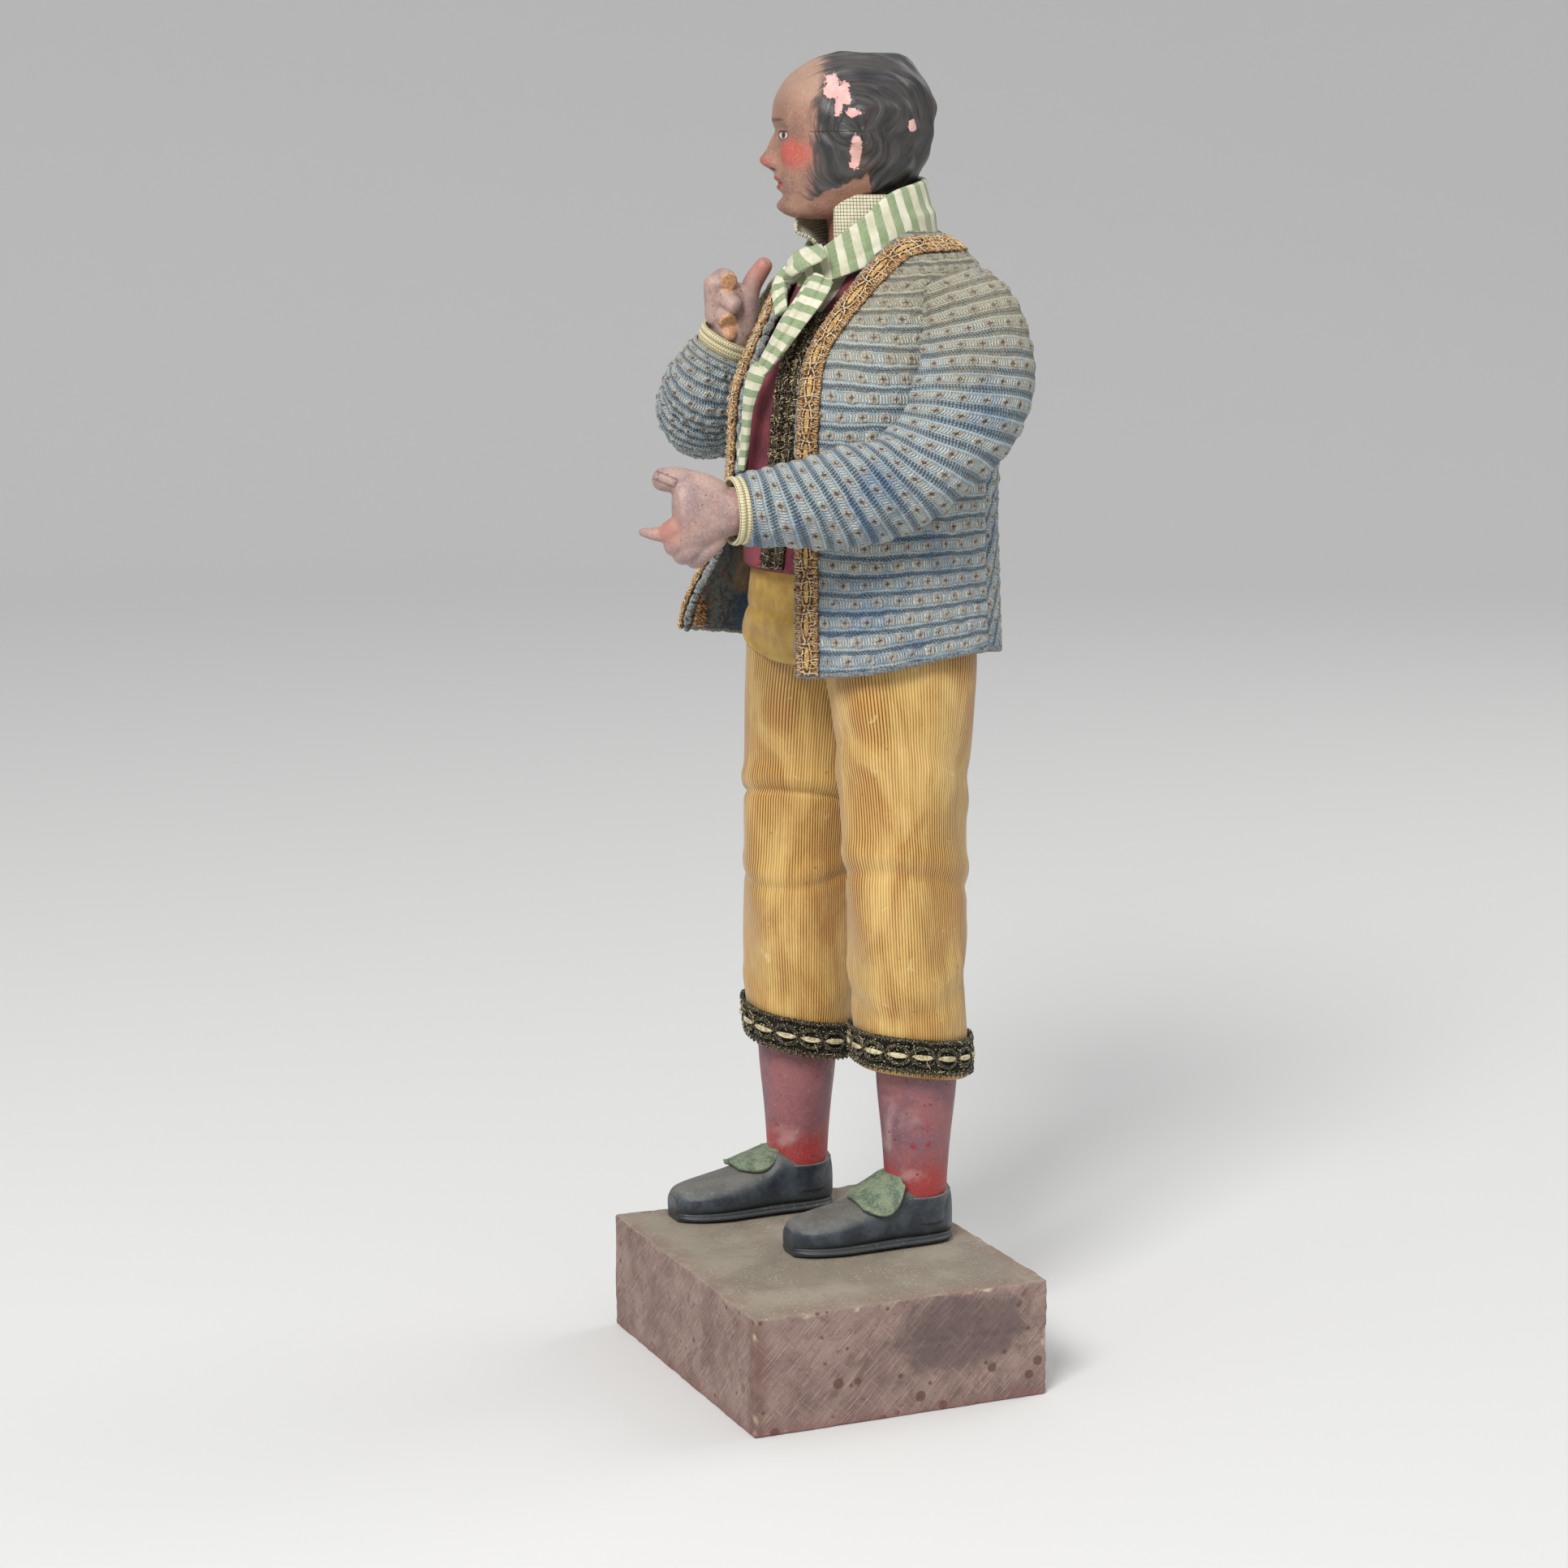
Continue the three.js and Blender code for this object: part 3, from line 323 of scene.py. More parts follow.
def block_paint():
    finish = Finish("block_paint", Roughness=0.8)
    where = finish.place()
    x, y, z = finish.split(where)
    top = finish.upward().rise(0.55, 0.8)
    mottle = finish.cloud(where, 15, 6, 0.62)
    patches = finish.cloud(where, 6, 6, 0.72, 0.6)
    speck = finish.cloud(where, 0.9, 5, 0.8)
    run = x + y
    rising, falling = run * 0.7 + z * 0.7, run * 0.7 - z * 0.7
    sawn = finish.cloud((rising * 0.1, falling * 1.5, 1.0), 0.8, 3, 0.6)
    sawn_across = finish.cloud((falling * 0.08, rising * 1.3, 5.0), 0.8, 3, 0.6)
    on_left_side = x.rise(40, 54)
    across_stain, up_stain = (y - 19) / 23, (z - 23) / 12
    from_stain = (across_stain * across_stain + up_stain * up_stain).root()
    stain = (from_stain + patches * 1.6 - 0.8).rise(1.1, 0.75) * on_left_side
    spots_low = finish.grains(where, 8.5).rise(0.22, 0.16) * z.rise(20, 14) * on_left_side
    side = finish.coats(
        (130, 106, 99),
        (mottle.rise(0.36, 0.64), 156, 133, 123),
        (patches.rise(0.50, 0.66) * 0.6, 108, 84, 80),
        (finish.cloud(where, 24, 4, 0.6).rise(0.54, 0.66) * 0.55, 112, 92, 84),
        (sawn.rise(0.54, 0.68) * 0.5, 190, 160, 148),
        (sawn_across.rise(0.56, 0.7) * 0.4, 184, 152, 140),
        (sawn.rise(0.44, 0.32) * 0.35, 96, 70, 68),
        (speck.rise(0.56, 0.72) * 0.4, 196, 172, 158),
        (speck.rise(0.44, 0.3) * 0.4, 92, 66, 64),
        (finish.grains(where, 4.6).rise(0.2, 0.13) * mottle.rise(0.5, 0.56) * 0.8, 92, 66, 58),
        (stain * 0.6, 84, 70, 72),
        (spots_low * 0.8, 96, 62, 50),
        ((y + patches * 6).rise(-38, -43) * x.rise(48, 54) * 0.5, 104, 66, 56),
        ((z + patches * 8).rise(8, 4.5) * 0.35, 136, 78, 76),
        (finish.marked("wear")[0] * patches.rise(0.4, 0.52), 206, 186, 160))
    rim = x.size().rise(45, 54).most(y.size().rise(37, 46)) * patches.rise(0.36, 0.6)
    dust = finish.coats(
        (138, 127, 112),
        (finish.cloud(where, 22, 5, 0.6).rise(0.36, 0.64), 158, 147, 130),
        (rim * 0.55, 142, 108, 98),
        (finish.cloud(where, 3, 6, 0.75).rise(0.56, 0.7) * 0.4, 112, 98, 84),
        (speck.rise(0.54, 0.7) * 0.45, 184, 172, 152),
        (finish.grains(where, 1.5).rise(0.24, 0.12) * mottle.rise(0.4, 0.55), 192, 178, 156),
        (finish.cloud(where, 1.3, 3, 0.8).rise(0.66, 0.72) * 0.8, 84, 64, 52))
    colour = finish.mix(top, side, dust)
    relief = patches * 0.5 + sawn * 0.45 + sawn_across * 0.3 + speck * 0.5
    return finish.done(colour, relief, 0.45, roughness=patches.rise(0.3, 0.7) * 0.2 + 0.7)


low, high = (np.array(corner) * 1000 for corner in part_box("base_block"))
bpy.ops.object.select_all(action="DESELECT")
bpy.ops.mesh.primitive_cube_add(size=2, location=(0, 0, 0))
block = bpy.context.object
block.name = "block"
bpy.ops.object.mode_set(mode="EDIT")
bpy.ops.mesh.subdivide(number_cuts=59)
bpy.ops.object.mode_set(mode="OBJECT")
CLOSER_AT_EDGES = 1.7
spots = read_spots(block)
spots = np.sign(spots) * (1 - (1 - np.abs(spots)) ** CLOSER_AT_EDGES)
half = (high - low) / 2
spots = spots * half
wear = 0.8 + 0.3 * waves(spots, 14, 3) + 0.3 * waves(spots, 4, 5) + 1.4 * ramp(waves(spots, 17, 9), 0.95, 1.5)
wear = np.clip(wear, 0.35, 2.4)[:, None]
core = np.clip(spots, -(half - wear), half - wear)
out = spots - core
length = np.maximum(np.linalg.norm(out, axis=1, keepdims=True), 1e-9)
on_edge = (np.abs(out) > 0.02 * wear).sum(axis=1) > 1
rounded = core + out / length * wear
spots = np.where(on_edge[:, None], rounded, spots)
spots[:, 2] += 0.12 * waves(spots, 30, 8) * (spots[:, 2] > 0)
groove = bump(spots[:, 2] + 0.03 * spots[:, 1], 4, 0.5) * (spots[:, 0] > half[0] - 1.5) * (spots[:, 1] > -5)
spots[:, 0] -= 0.5 * groove
move_spots(block, (spots + (low + high) / 2) * 0.001)
shown = np.clip((wear[:, 0] - 1.1) / 0.8, 0, 1) * on_edge
mark(block, "wear", shown, shown, shown)
bpy.ops.object.shade_smooth()
finish_piece(block, block_paint(), "painted_wood", "base_block")


# Stockings and shoes
# Each lower leg is one terracotta casting: a stockinged shin, painted pink over red and rubbed grey-mauve,
# in a low blue-grey shoe with a grooved sole and a sage-green tongue that lies over the instep.
BODY_TURN = math.radians(18)
SHOE_TURN = math.radians(-18)
STAND = np.array([-23.0, 24.0, 35.3])
ANKLES = {"left": (26.0, -3.4), "right": (-23.6, -7.0)}
HEM_LEVEL = 53.0


def course(stations):
    """Values between stations (t, a, b, ...) on a smooth curve."""
    table = np.array(stations, float)
    t, values = table[:, 0], table[:, 1:]
    slopes = np.zeros_like(values)
    slopes[1:-1] = (values[2:] - values[:-2]) / (t[2:] - t[:-2])[:, None]
    slopes[0] = (3 * (values[1] - values[0]) / (t[1] - t[0]) - slopes[1]) / 2
    slopes[-1] = (3 * (values[-1] - values[-2]) / (t[-1] - t[-2]) - slopes[-2]) / 2

    def at(where):
        where = np.asarray(where, float)
        k = np.clip(np.searchsorted(t, where, side="right") - 1, 0, len(t) - 2)
        h = (t[k + 1] - t[k])
        s = ((where - t[k]) / h)[..., None]
        h = h[..., None]
        found = ((1 + 2 * s) * (1 - s) ** 2 * values[k] + s * (1 - s) ** 2 * h * slopes[k]
                 + s * s * (3 - 2 * s) * values[k + 1] + s * s * (s - 1) * h * slopes[k + 1])
        return [found[..., i] for i in range(found.shape[-1])]

    return at


def points_of(x, y, z):
    return np.stack(np.broadcast_arrays(x, y, z), -1).astype(float)


def turned(points, angle):
    """Points turned about the upright axis."""
    c, s = math.cos(angle), math.sin(angle)
    x, y, z = points[..., 0], points[..., 1], points[..., 2]
    return points_of(x * c - y * s, x * s + y * c, z)


def stand(points):
    """From the figure's own place, in mm, to the row frame, in metres."""
    return (turned(points, BODY_TURN) + STAND) * 0.001


def modify(piece, kind, **settings):
    """Adds a modifier to the active piece, with its settings, and applies it."""
    modifier = piece.modifiers.new(kind.lower(), kind)
    for name, value in settings.items():
        setattr(modifier, name, value)
    bpy.ops.object.modifier_apply(modifier=modifier.name)


def surface(name, point_at, columns, rows, closed=False, wall=0.0, straight=False, capped=False, raised=None):
    """A surface over point_at(u, v), from a grid, with its size along and across kept as the cloth's mm.

    It may be closed round u, capped at both ends of v and given a wall. Its cloth may run straight along v.
    raised(along, across, spots) moves the cloth's rows and says how far the cloth stands out there."""
    bpy.ops.object.select_all(action="DESELECT")
    bpy.ops.mesh.primitive_grid_add(x_subdivisions=columns, y_subdivisions=rows, size=1, location=(0, 0, 0))
    piece = bpy.context.object
    piece.name = name
    mesh = piece.data
    flat = read_spots(piece) + 0.5
    u, v = np.clip(flat[:, 0], 0, 1), np.clip(flat[:, 1], 0, 1)
    spots = point_at(u, v)
    order = np.lexsort((u, np.round(v, 5)))
    width = int(round(len(u) / len(np.unique(np.round(v, 5)))))
    table = spots[order].reshape(-1, width, 3)
    steps_u = np.linalg.norm(np.diff(table, axis=1), axis=2)
    steps_v = np.linalg.norm(np.diff(table, axis=0), axis=2)
    along = np.concatenate([np.zeros((len(table), 1)), np.cumsum(steps_u, axis=1)], axis=1)
    across = np.concatenate([np.zeros((1, width)), np.cumsum(steps_v, axis=0)], axis=0).mean(axis=1, keepdims=True)
    if straight:
        along = along.mean(axis=0, keepdims=True) + 0 * along
    else:
        along = along - along[:, width // 2: width // 2 + 1]
    across = across + 0 * along
    if raised is not None:
        along, across, height = raised(along, across, table)
        out = unit(np.cross(np.gradient(table, axis=1), np.gradient(table, axis=0)))
        if closed:
            for values in (out, height):
                values[:, 0] = values[:, -1] = (values[:, 0] + values[:, -1]) / 2
        spots[order] = (table + out * height[..., None]).reshape(-1, 3)
    move_spots(piece, stand(spots))
    cloth = np.zeros((len(u), 2))
    cloth[order, 0] = along.ravel()
    cloth[order, 1] = across.ravel()
    corners = np.zeros(len(mesh.loops), int)
    mesh.loops.foreach_get("vertex_index", corners)
    mesh.uv_layers[0].data.foreach_set("uv", cloth[corners].ravel())
    bpy.ops.object.mode_set(mode="EDIT")
    bpy.ops.mesh.select_all(action="SELECT")
    if closed:
        bpy.ops.mesh.remove_doubles(threshold=1e-6)
    if capped:
        bpy.ops.mesh.select_all(action="DESELECT")
        bpy.ops.mesh.select_non_manifold()
        bpy.ops.mesh.edge_face_add()
        bpy.ops.mesh.select_all(action="SELECT")
    bpy.ops.object.mode_set(mode="OBJECT")
    if wall:
        modify(piece, "SOLIDIFY", thickness=wall * 0.001, offset=1)
    bpy.ops.object.shade_smooth()
    return piece


def leg_place(side, points):
    return turned(points, SHOE_TURN) + [*ANKLES[side], 0]


shin_radius = course([[0, 9.4], [16, 9.4], [30, 10.2], [50, 12], [75, 12.6]])
shoe_stations = course([
    [0, 6.2, 13.4], [0.06, 8.6, 14.0], [0.2, 9.8, 14.2], [0.36, 9.9, 16.4], [0.48, 10.1, 15.2],
    [0.6, 10.4, 13.2], [0.74, 10.4, 11.6], [0.88, 8.8, 10.4], [0.96, 6.4, 9.4], [1, 4.0, 7.6]])


def shoe_point(along, angle, widen, low):
    half_width, top = shoe_stations(along)
    c, s = np.cos(angle), np.sin(angle)
    across = np.sign(c) * np.abs(c) ** 0.75
    up = np.sign(s) * np.abs(s) ** np.where(s < 0, 0.45, 0.9)
    return points_of(across * (half_width + widen), 9.4 - along * 51.5, (top + low) / 2 + up * (top - low) / 2)


def rounded_run(t):
    """Even steps that close in on both ends, for a rounded toe and heel."""
    return 0.5 - 0.5 * np.cos(np.pi * t)


def stocking_paint():
    finish = Finish("stocking_paint", Roughness=0.5)
    where = finish.place()
    height = finish.split(where)[2]
    soft = finish.cloud(where, 14, 5, 0.6)
    fine = finish.cloud(where, 1.6, 6, 0.7)
    grit = finish.cloud(where, 0.5, 3, 0.8)
    runs = finish.stretched(where, 1.0, 1.0, 0.14)
    blots = finish.grains(where, 6).rise(0.24, 0.14) * fine.rise(0.46, 0.54)
    blots = blots * finish.cloud(where, 17, 3, 0.6).rise(0.5, 0.6)
    colour = finish.coats(
        (148, 92, 94),
        (soft.rise(0.4, 0.62), 124, 88, 98),
        (finish.cloud(where, 6, 5, 0.65, 0.6).rise(0.48, 0.6) * 0.5, 112, 78, 88),
        ((height + finish.cloud(where, 9, 3, 0.6) * 26).rise(86, 58) * 0.7, 156, 70, 64),
        ((height + fine * 12 + soft * 18).rise(80, 68) * 0.75, 164, 42, 38),
        (finish.cloud(where, 15, 3, 0.5, 0.4).rise(0.56, 0.7) * 0.4, 196, 166, 162),
        (finish.cloud(runs, 2.6, 4, 0.6, 0.4).rise(0.67, 0.71) * 0.7, 160, 50, 44),
        (blots * 0.85, 150, 36, 38),
        (finish.grains(where, 3.4).rise(0.17, 0.1) * fine.rise(0.47, 0.55), 96, 40, 42),
        (fine.rise(0.58, 0.72) * 0.45, 196, 160, 156),
        (grit.rise(0.56, 0.74) * 0.35, 204, 176, 172))
    relief = soft * 0.6 + fine * 0.4 + finish.cloud(where, 3.5, 3, 0.5) * 0.8 + grit * 0.15
    return finish.done(colour, relief, 0.35, roughness=fine * 0.3 + 0.34)


def shoe_paint():
    finish = Finish("shoe_paint", Roughness=0.5)
    where = finish.place()
    height = finish.split(where)[2]
    dusty = finish.cloud(where, 7, 6, 0.65)
    fine = finish.cloud(where, 1.1, 5, 0.7)
    colour = finish.coats(
        (44, 50, 58),
        (dusty.rise(0.4, 0.62), 68, 75, 82),
        (finish.upward().rise(0.2, 0.95) * (dusty * 0.9 + 0.2), 124, 121, 112),
        (fine.rise(0.58, 0.74) * finish.upward().rise(-0.2, 0.8) * 0.7, 166, 158, 144),
        (fine.rise(0.45, 0.32) * 0.4, 40, 44, 50),
        (height.rise(40.4, 38.6) * 0.75, 42, 46, 50),
        (height.rise(39.4, 38.2) * fine.rise(0.56, 0.7) * 0.4, 128, 124, 118))
    roughness = dusty * 0.3 + finish.upward().rise(0, 0.9) * 0.3 + 0.16
    return finish.done(colour, dusty * 0.6 + fine * 0.4, 0.3, roughness=roughness)


def tongue_paint():
    finish = Finish("tongue_paint", Roughness=0.75)
    where = finish.place()
    soft = finish.cloud(where, 4, 5, 0.65)
    colour = finish.coats(
        (86, 104, 84),
        (soft.rise(0.38, 0.62), 124, 138, 112),
        (finish.cloud(where, 0.9, 4, 0.7).rise(0.5, 0.66) * 0.6, 166, 160, 138))
    return finish.done(colour, soft + finish.cloud(where, 1.2, 3, 0.6) * 0.4, 0.4)


stocking_finish, shoe_finish, tongue_finish = stocking_paint(), shoe_paint(), tongue_paint()
TONGUE_RISE = {"left": 3.0, "right": 0.6}
TONGUE_LEAN = {"left": math.radians(-16), "right": math.radians(16)}
SHIN_TOP, SHIN_FOOT = 72, 12
WELT_THICKNESS, GROOVE_LEVEL = 2.9, 1.9
for side in ("left", "right"):
    def shin_point(u, v):
        angle, z = -2 * np.pi * u, SHIN_TOP - (SHIN_TOP - SHIN_FOOT) * v
        radius = shin_radius(z)[0]
        calf = 1 + 0.03 * np.sin(angle * 2 + 0.6) * ramp(z, 20, 50)
        return leg_place(side, points_of(np.cos(angle) * radius * calf, np.sin(angle) * radius * calf, z))

    def upper_point(u, v):
        angle = 2 * np.pi * u
        spots = shoe_point(rounded_run(v), angle, 0, 1.4)
        closing = 1 - 0.9 * (bump(v, 0, 0.012) + bump(v, 1, 0.012))
        spots[..., 0] *= closing
        middle = (shoe_stations(rounded_run(v))[1] + 1.4) / 2
        spots[..., 2] = middle + (spots[..., 2] - middle) * closing
        round_ankle = np.hypot(spots[..., 0], spots[..., 1] + 1)
        collar = ramp(spots[..., 2], 6, 12) * ramp(-spots[..., 1], 15, 9)
        spots[..., 2] += 2.7 * collar + 0.6 * bump(round_ankle, 10.6, 0.9) * ramp(spots[..., 2], 8, 10)
        return leg_place(side, spots)

    def sole_point(u, v):
        angle = 2 * np.pi * u
        spots = shoe_point(rounded_run(v), angle, 0.7, 0)
        closing = 1 - 0.9 * (bump(v, 0, 0.012) + bump(v, 1, 0.012))
        height = np.clip(0.5 + 0.72 * np.sin(angle), 0, 1)
        z = height * WELT_THICKNESS
        edge = 1 - 0.07 * bump(z, GROOVE_LEVEL, 0.42)
        spots[..., 0] *= edge * closing
        spots[..., 1] += 0.5 * (rounded_run(v) - 0.5)
        spots[..., 2] = z
        return leg_place(side, spots)

    def tongue_point(u, v):
        outer = 1 - u if side == "left" else u
        narrowing = 1 - 0.58 * np.abs(2 * v - 1) ** 2.2
        angle = np.pi / 2 + (0.5 - u) * math.radians(124) * narrowing + TONGUE_LEAN[side]
        spots = shoe_point(0.325 + 0.27 * v, angle, 0.6, 1.4)
        lifted = 0.6 + 0.9 * bump(v, 0, 0.2) + 0.5 * bump(outer, 0, 0.16)
        spots[..., 2] += TONGUE_RISE[side] * (1 - v) ** 2 * np.sin(angle) + lifted * 0.8
        return leg_place(side, spots)

    def collar_point(u, v):
        angle = -2 * np.pi * u
        radius = 9.45 + 0.25 * bump(v, 0, 0.12) + 0.1 * np.sin(3 * angle)
        z = 15.4 - 8.4 * v - 0.4 * np.cos(angle) ** 2
        return leg_place(side, points_of(np.cos(angle) * radius, np.sin(angle) * radius, z))

    collar = surface(f"shoe_collar_{side}", collar_point, 72, 12, closed=True, wall=0.8)
    finish_piece(collar, shoe_finish, "painted_clay_dark", f"leg_{side}")
    shin = surface(f"stocking_{side}", shin_point, 64, 60, closed=True, capped=True)
    finish_piece(shin, stocking_finish, "painted_clay_dark", f"leg_{side}")
    upper = surface(f"shoe_upper_{side}", upper_point, 72, 90, closed=True, capped=True)
    finish_piece(upper, shoe_finish, "painted_clay_dark", f"leg_{side}")
    sole = surface(f"shoe_sole_{side}", sole_point, 72, 90, closed=True, capped=True)
    finish_piece(sole, shoe_finish, "painted_clay_dark", f"leg_{side}")
    tongue = surface(f"shoe_tongue_{side}", lambda u, v: tongue_point(1 - u, v), 44, 36, wall=1.5)
    finish_piece(tongue, tongue_finish, "painted_clay_dark", f"leg_{side}")


# Breeches
# Two wide straight legs of golden ribbed silk, sewn together up the seat and creased across, with a fall
# front of smooth mustard cloth over the belly. The hems are open and stand round the shins.
breeches_leg = course([
    [53, 24.6, -4.4, 16.8, 16.6], [66, 24.4, -4.6, 17.3, 17.1], [95, 23.6, -5.4, 17.8, 18.4],
    [125, 22.2, -5.6, 17.6, 19.0], [140, 21.2, -5.2, 17.8, 20.0], [160, 19.6, -4.0, 18.4, 22.4],
    [176, 17.2, -2.0, 18.4, 25.4], [190, 15.6, -1.4, 18.0, 26.4], [203, 14.8, -1.6, 17.4, 27.0]])
HEM_TILT = {"left": (-100, 2.4), "right": (-150, 3.6)}
HEM_SHIFT = {"left": (0.4, -0.2), "right": (1.4, -1.4)}
SEAM_AT = 0.9
SILK_FOOT, WAIST_LEVEL = 52.6, 203


def breeches_point(side, angle, z, outward=0.0):
    sign = 1 if side == "left" else -1
    x, y, across, deep = breeches_leg(z)
    fold = 1 + 0.018 * np.sin(3 * angle + z / 9) + 0.012 * np.sin(5 * angle - z / 14)
    high, rise = HEM_TILT[side]
    fade = 1 - ramp(z, HEM_LEVEL, 95)
    aside, ahead = HEM_SHIFT[side]
    return points_of(
        sign * x + aside * fade + np.cos(angle) * (across * fold + outward),
        y + ahead * fade + np.sin(angle) * (deep * fold + outward),
        z + rise * np.cos(angle - math.radians(high)) * fade)


CREASES = {
    "left": [(0.7, 1, 116, 3.4), (-0.7, 1, 110, 2.4), (0.5, -2, 88, 4),
             (-0.5, -2, 80, 3), (0.6, 2, 138, 4), (-0.5, 2, 146, 3.6)],
    "right": [(0.8, 1, 133.5, 3), (-1.1, 1, 129, 1.5), (0.5, -1, 113, 3), (-0.6, -1, 108.6, 2.0), (0.4, -2, 76, 3.5)]}


def creases(side, angle, z):
    """How far the silk stands out from its even shape: soft folds across and down the leg."""
    lean = 5 * np.sin(angle - 0.4)
    across = sum(height * bump(z + slant * lean, level, spread) for height, slant, level, spread in CREASES[side])
    down = 0.5 * np.sin(2 * angle + z / 26) * ramp(z, 60, 80) + 0.2 * np.sin(7 * angle + z / 17)
    return across + down


def silk():
    finish = Finish("ribbed_silk", Roughness=0.4, Sheen_Weight=0.2, Sheen_Roughness=0.4, Anisotropic=0.4)
    along, across = finish.cloth()
    where = finish.place()
    wander = finish.cloud((along * 0.25, across * 0.03), 3.0, 2, 0.5)
    rib = along.wave(0.84, wander * 2.4) * 0.5 + 0.5
    # Broad soft patches of painted sheen: there the silk is painted lighter and its furrows less dark.
    wear_and_sheen = finish.cloud((along, across * 0.35), 14, 5, 0.6, 0.5)
    streak = finish.cloud((along * 1.1, across * 0.03), 1.4, 3, 0.6)
    yarn = finish.cloud((along * 1.4, across * 0.5), 0.6, 3, 0.7)
    colour = finish.coats(
        (204, 156, 78),
        (wear_and_sheen.rise(0.36, 0.66), 228, 192, 118),
        (finish.cloud(where, 34, 4, 0.6).rise(0.42, 0.62) * 0.6, 206, 172, 94),
        (streak.rise(0.44, 0.64) * 0.35, 186, 130, 66),
        (yarn.rise(0.54, 0.72) * 0.3, 240, 208, 142))
    # Painted shade in the furrows between the ribs.
    furrow = rib.rise(0.6, 0.1) * (wear_and_sheen.rise(0.66, 0.4) * 0.55 + 0.45)
    colour = finish.mix(furrow, colour, tint(116, 66, 26))
    # Near-white painted glints, scattered over the silk in the grain of its fibre.
    painted_glints = finish.cloud(where, 6, 6, 0.72, 1.0).rise(0.62, 0.7)
    colour = finish.coats(
        colour,
        (painted_glints * (yarn * 0.6 + 0.1), 240, 220, 172),
        (finish.cloud(where, 30, 3, 0.5).rise(0.54, 0.68) * 0.25, 180, 122, 56),
        (finish.grains(where, 9).rise(0.07, 0.03) * 0.6, 140, 98, 56))
    return finish.done(colour, rib * 0.85 + yarn * 0.3, 0.16, roughness=rib * 0.1 + 0.34)


silk_finish = silk()
for side in ("left", "right"):
    def silk_point(u, v):
        angle, z = 2 * np.pi * u + SEAM_AT, SILK_FOOT + v * (WAIST_LEVEL - SILK_FOOT)
        creased = creases(side, angle, z) * ramp(z, 54, 70) * (1 - ramp(z, 185, 200))
        return breeches_point(side, angle, z, creased - 1.0)

    leg = surface(f"breeches_{side}", silk_point, 140, 160, closed=True, wall=1.0, straight=True)
    finish_piece(leg, silk_finish, "silk", "breeches")


def mustard():
    finish = Finish("mustard_cloth", Roughness=0.5, Sheen_Weight=0.2, Sheen_Roughness=0.4)
    where = finish.place()
    along, across = finish.cloth()
    weave = along.wave(0.5) * across.wave(0.5)
    soft = finish.cloud(where, 9, 5, 0.6)
    fibre = finish.cloud((along * 1.2, across * 0.12), 1.0, 3, 0.7)
    colour = finish.coats(
        (166, 126, 46),
        (soft.rise(0.36, 0.64), 196, 158, 70),
        (fibre.rise(0.54, 0.7) * 0.4, 216, 184, 112),
        (finish.cloud(where, 3, 5, 0.7, 1.0).rise(0.58, 0.7) * 0.4, 138, 98, 40),
        (weave.rise(0.0, -0.8) * 0.25, 128, 88, 38))
    return finish.done(colour, weave * 0.3 + soft * 0.6 + fibre * 0.3, 0.16)


fall_front_section = course([[150, 34.6, 23.6], [176, 35.2, 27.3], [190, 33.4, 28.0], [204, 32.2, 28.4]])
fall_front_bulge = course([
    [170, 0.145, -134], [178, 0.146, -134], [186, 0.12, -132], [194, 0.1, -128], [206, 0.1, -125]])


def fall_front_point(u, v):
    """A smooth cloth over both legs, from the figure's right hip to its left, bulging where the right leg does."""
    angle = np.radians(-152 + 105 * u)
    foot = 174.6 + 10 * (np.abs(np.cos(angle) * 34) / 25.7) ** 4
    z = foot + (202.6 - foot) * v
    half_width, depth = fall_front_section(z)
    swell = 0.3 * np.sin(5 * u + 0.2 * z) + 0.7 * bump(z, 185.5, 3) * np.sin(3.1 * u) - 0.5 * bump(z, 189.5, 1.6)
    swell += 0.45 * bump(v, 0.03, 0.05)
    rounder, side = fall_front_bulge(z)
    beside = np.degrees(angle) - side
    rounder = 1 + rounder * bump(beside, 0, np.where(beside < 0, 24, 16))
    x = np.cos(angle) * (half_width + swell + 0.6) * rounder
    y = -1.4 + np.sin(angle) * (depth + swell + 0.6) * rounder
    return points_of(x, y, z)


fall_front = surface("fall_front", fall_front_point, 90, 60, wall=0.5)
finish_piece(fall_front, mustard(), "silk", "breeches")
loose = []
for k, across in enumerate((0.735, 0.75, 0.765)):
    down = np.linspace(0.99, 0.06 + 0.1 * k, 30)
    place = fall_front_point(across + 0.008 * np.sin(9 * down + 2 * k), down)
    loose.append(place + points_of(0 * down, -1.1 + 0 * down, 0 * down))


# Knee braid
# A dark tarnished metal lace, about 10 mm wide, sewn round each hem: a net ground, a corded border on both
# sides, a row of oval loops down the middle and a bright gold lozenge in each oval.
KNEE_BRAID_WIDTH = 10.5
HEM_SHOWN = {"left": 1.2, "right": 0.2}
OVALS = 15
PICOTS = 8 * OVALS


NO_THREAD_RUNS_SO = [0.12, 0.1, 1.0]


def select(*pieces):
    """Selects these pieces alone, the first one active."""
    bpy.ops.object.select_all(action="DESELECT")
    bpy.context.view_layer.objects.active = pieces[0]
    for piece in pieces:
        piece.select_set(True)


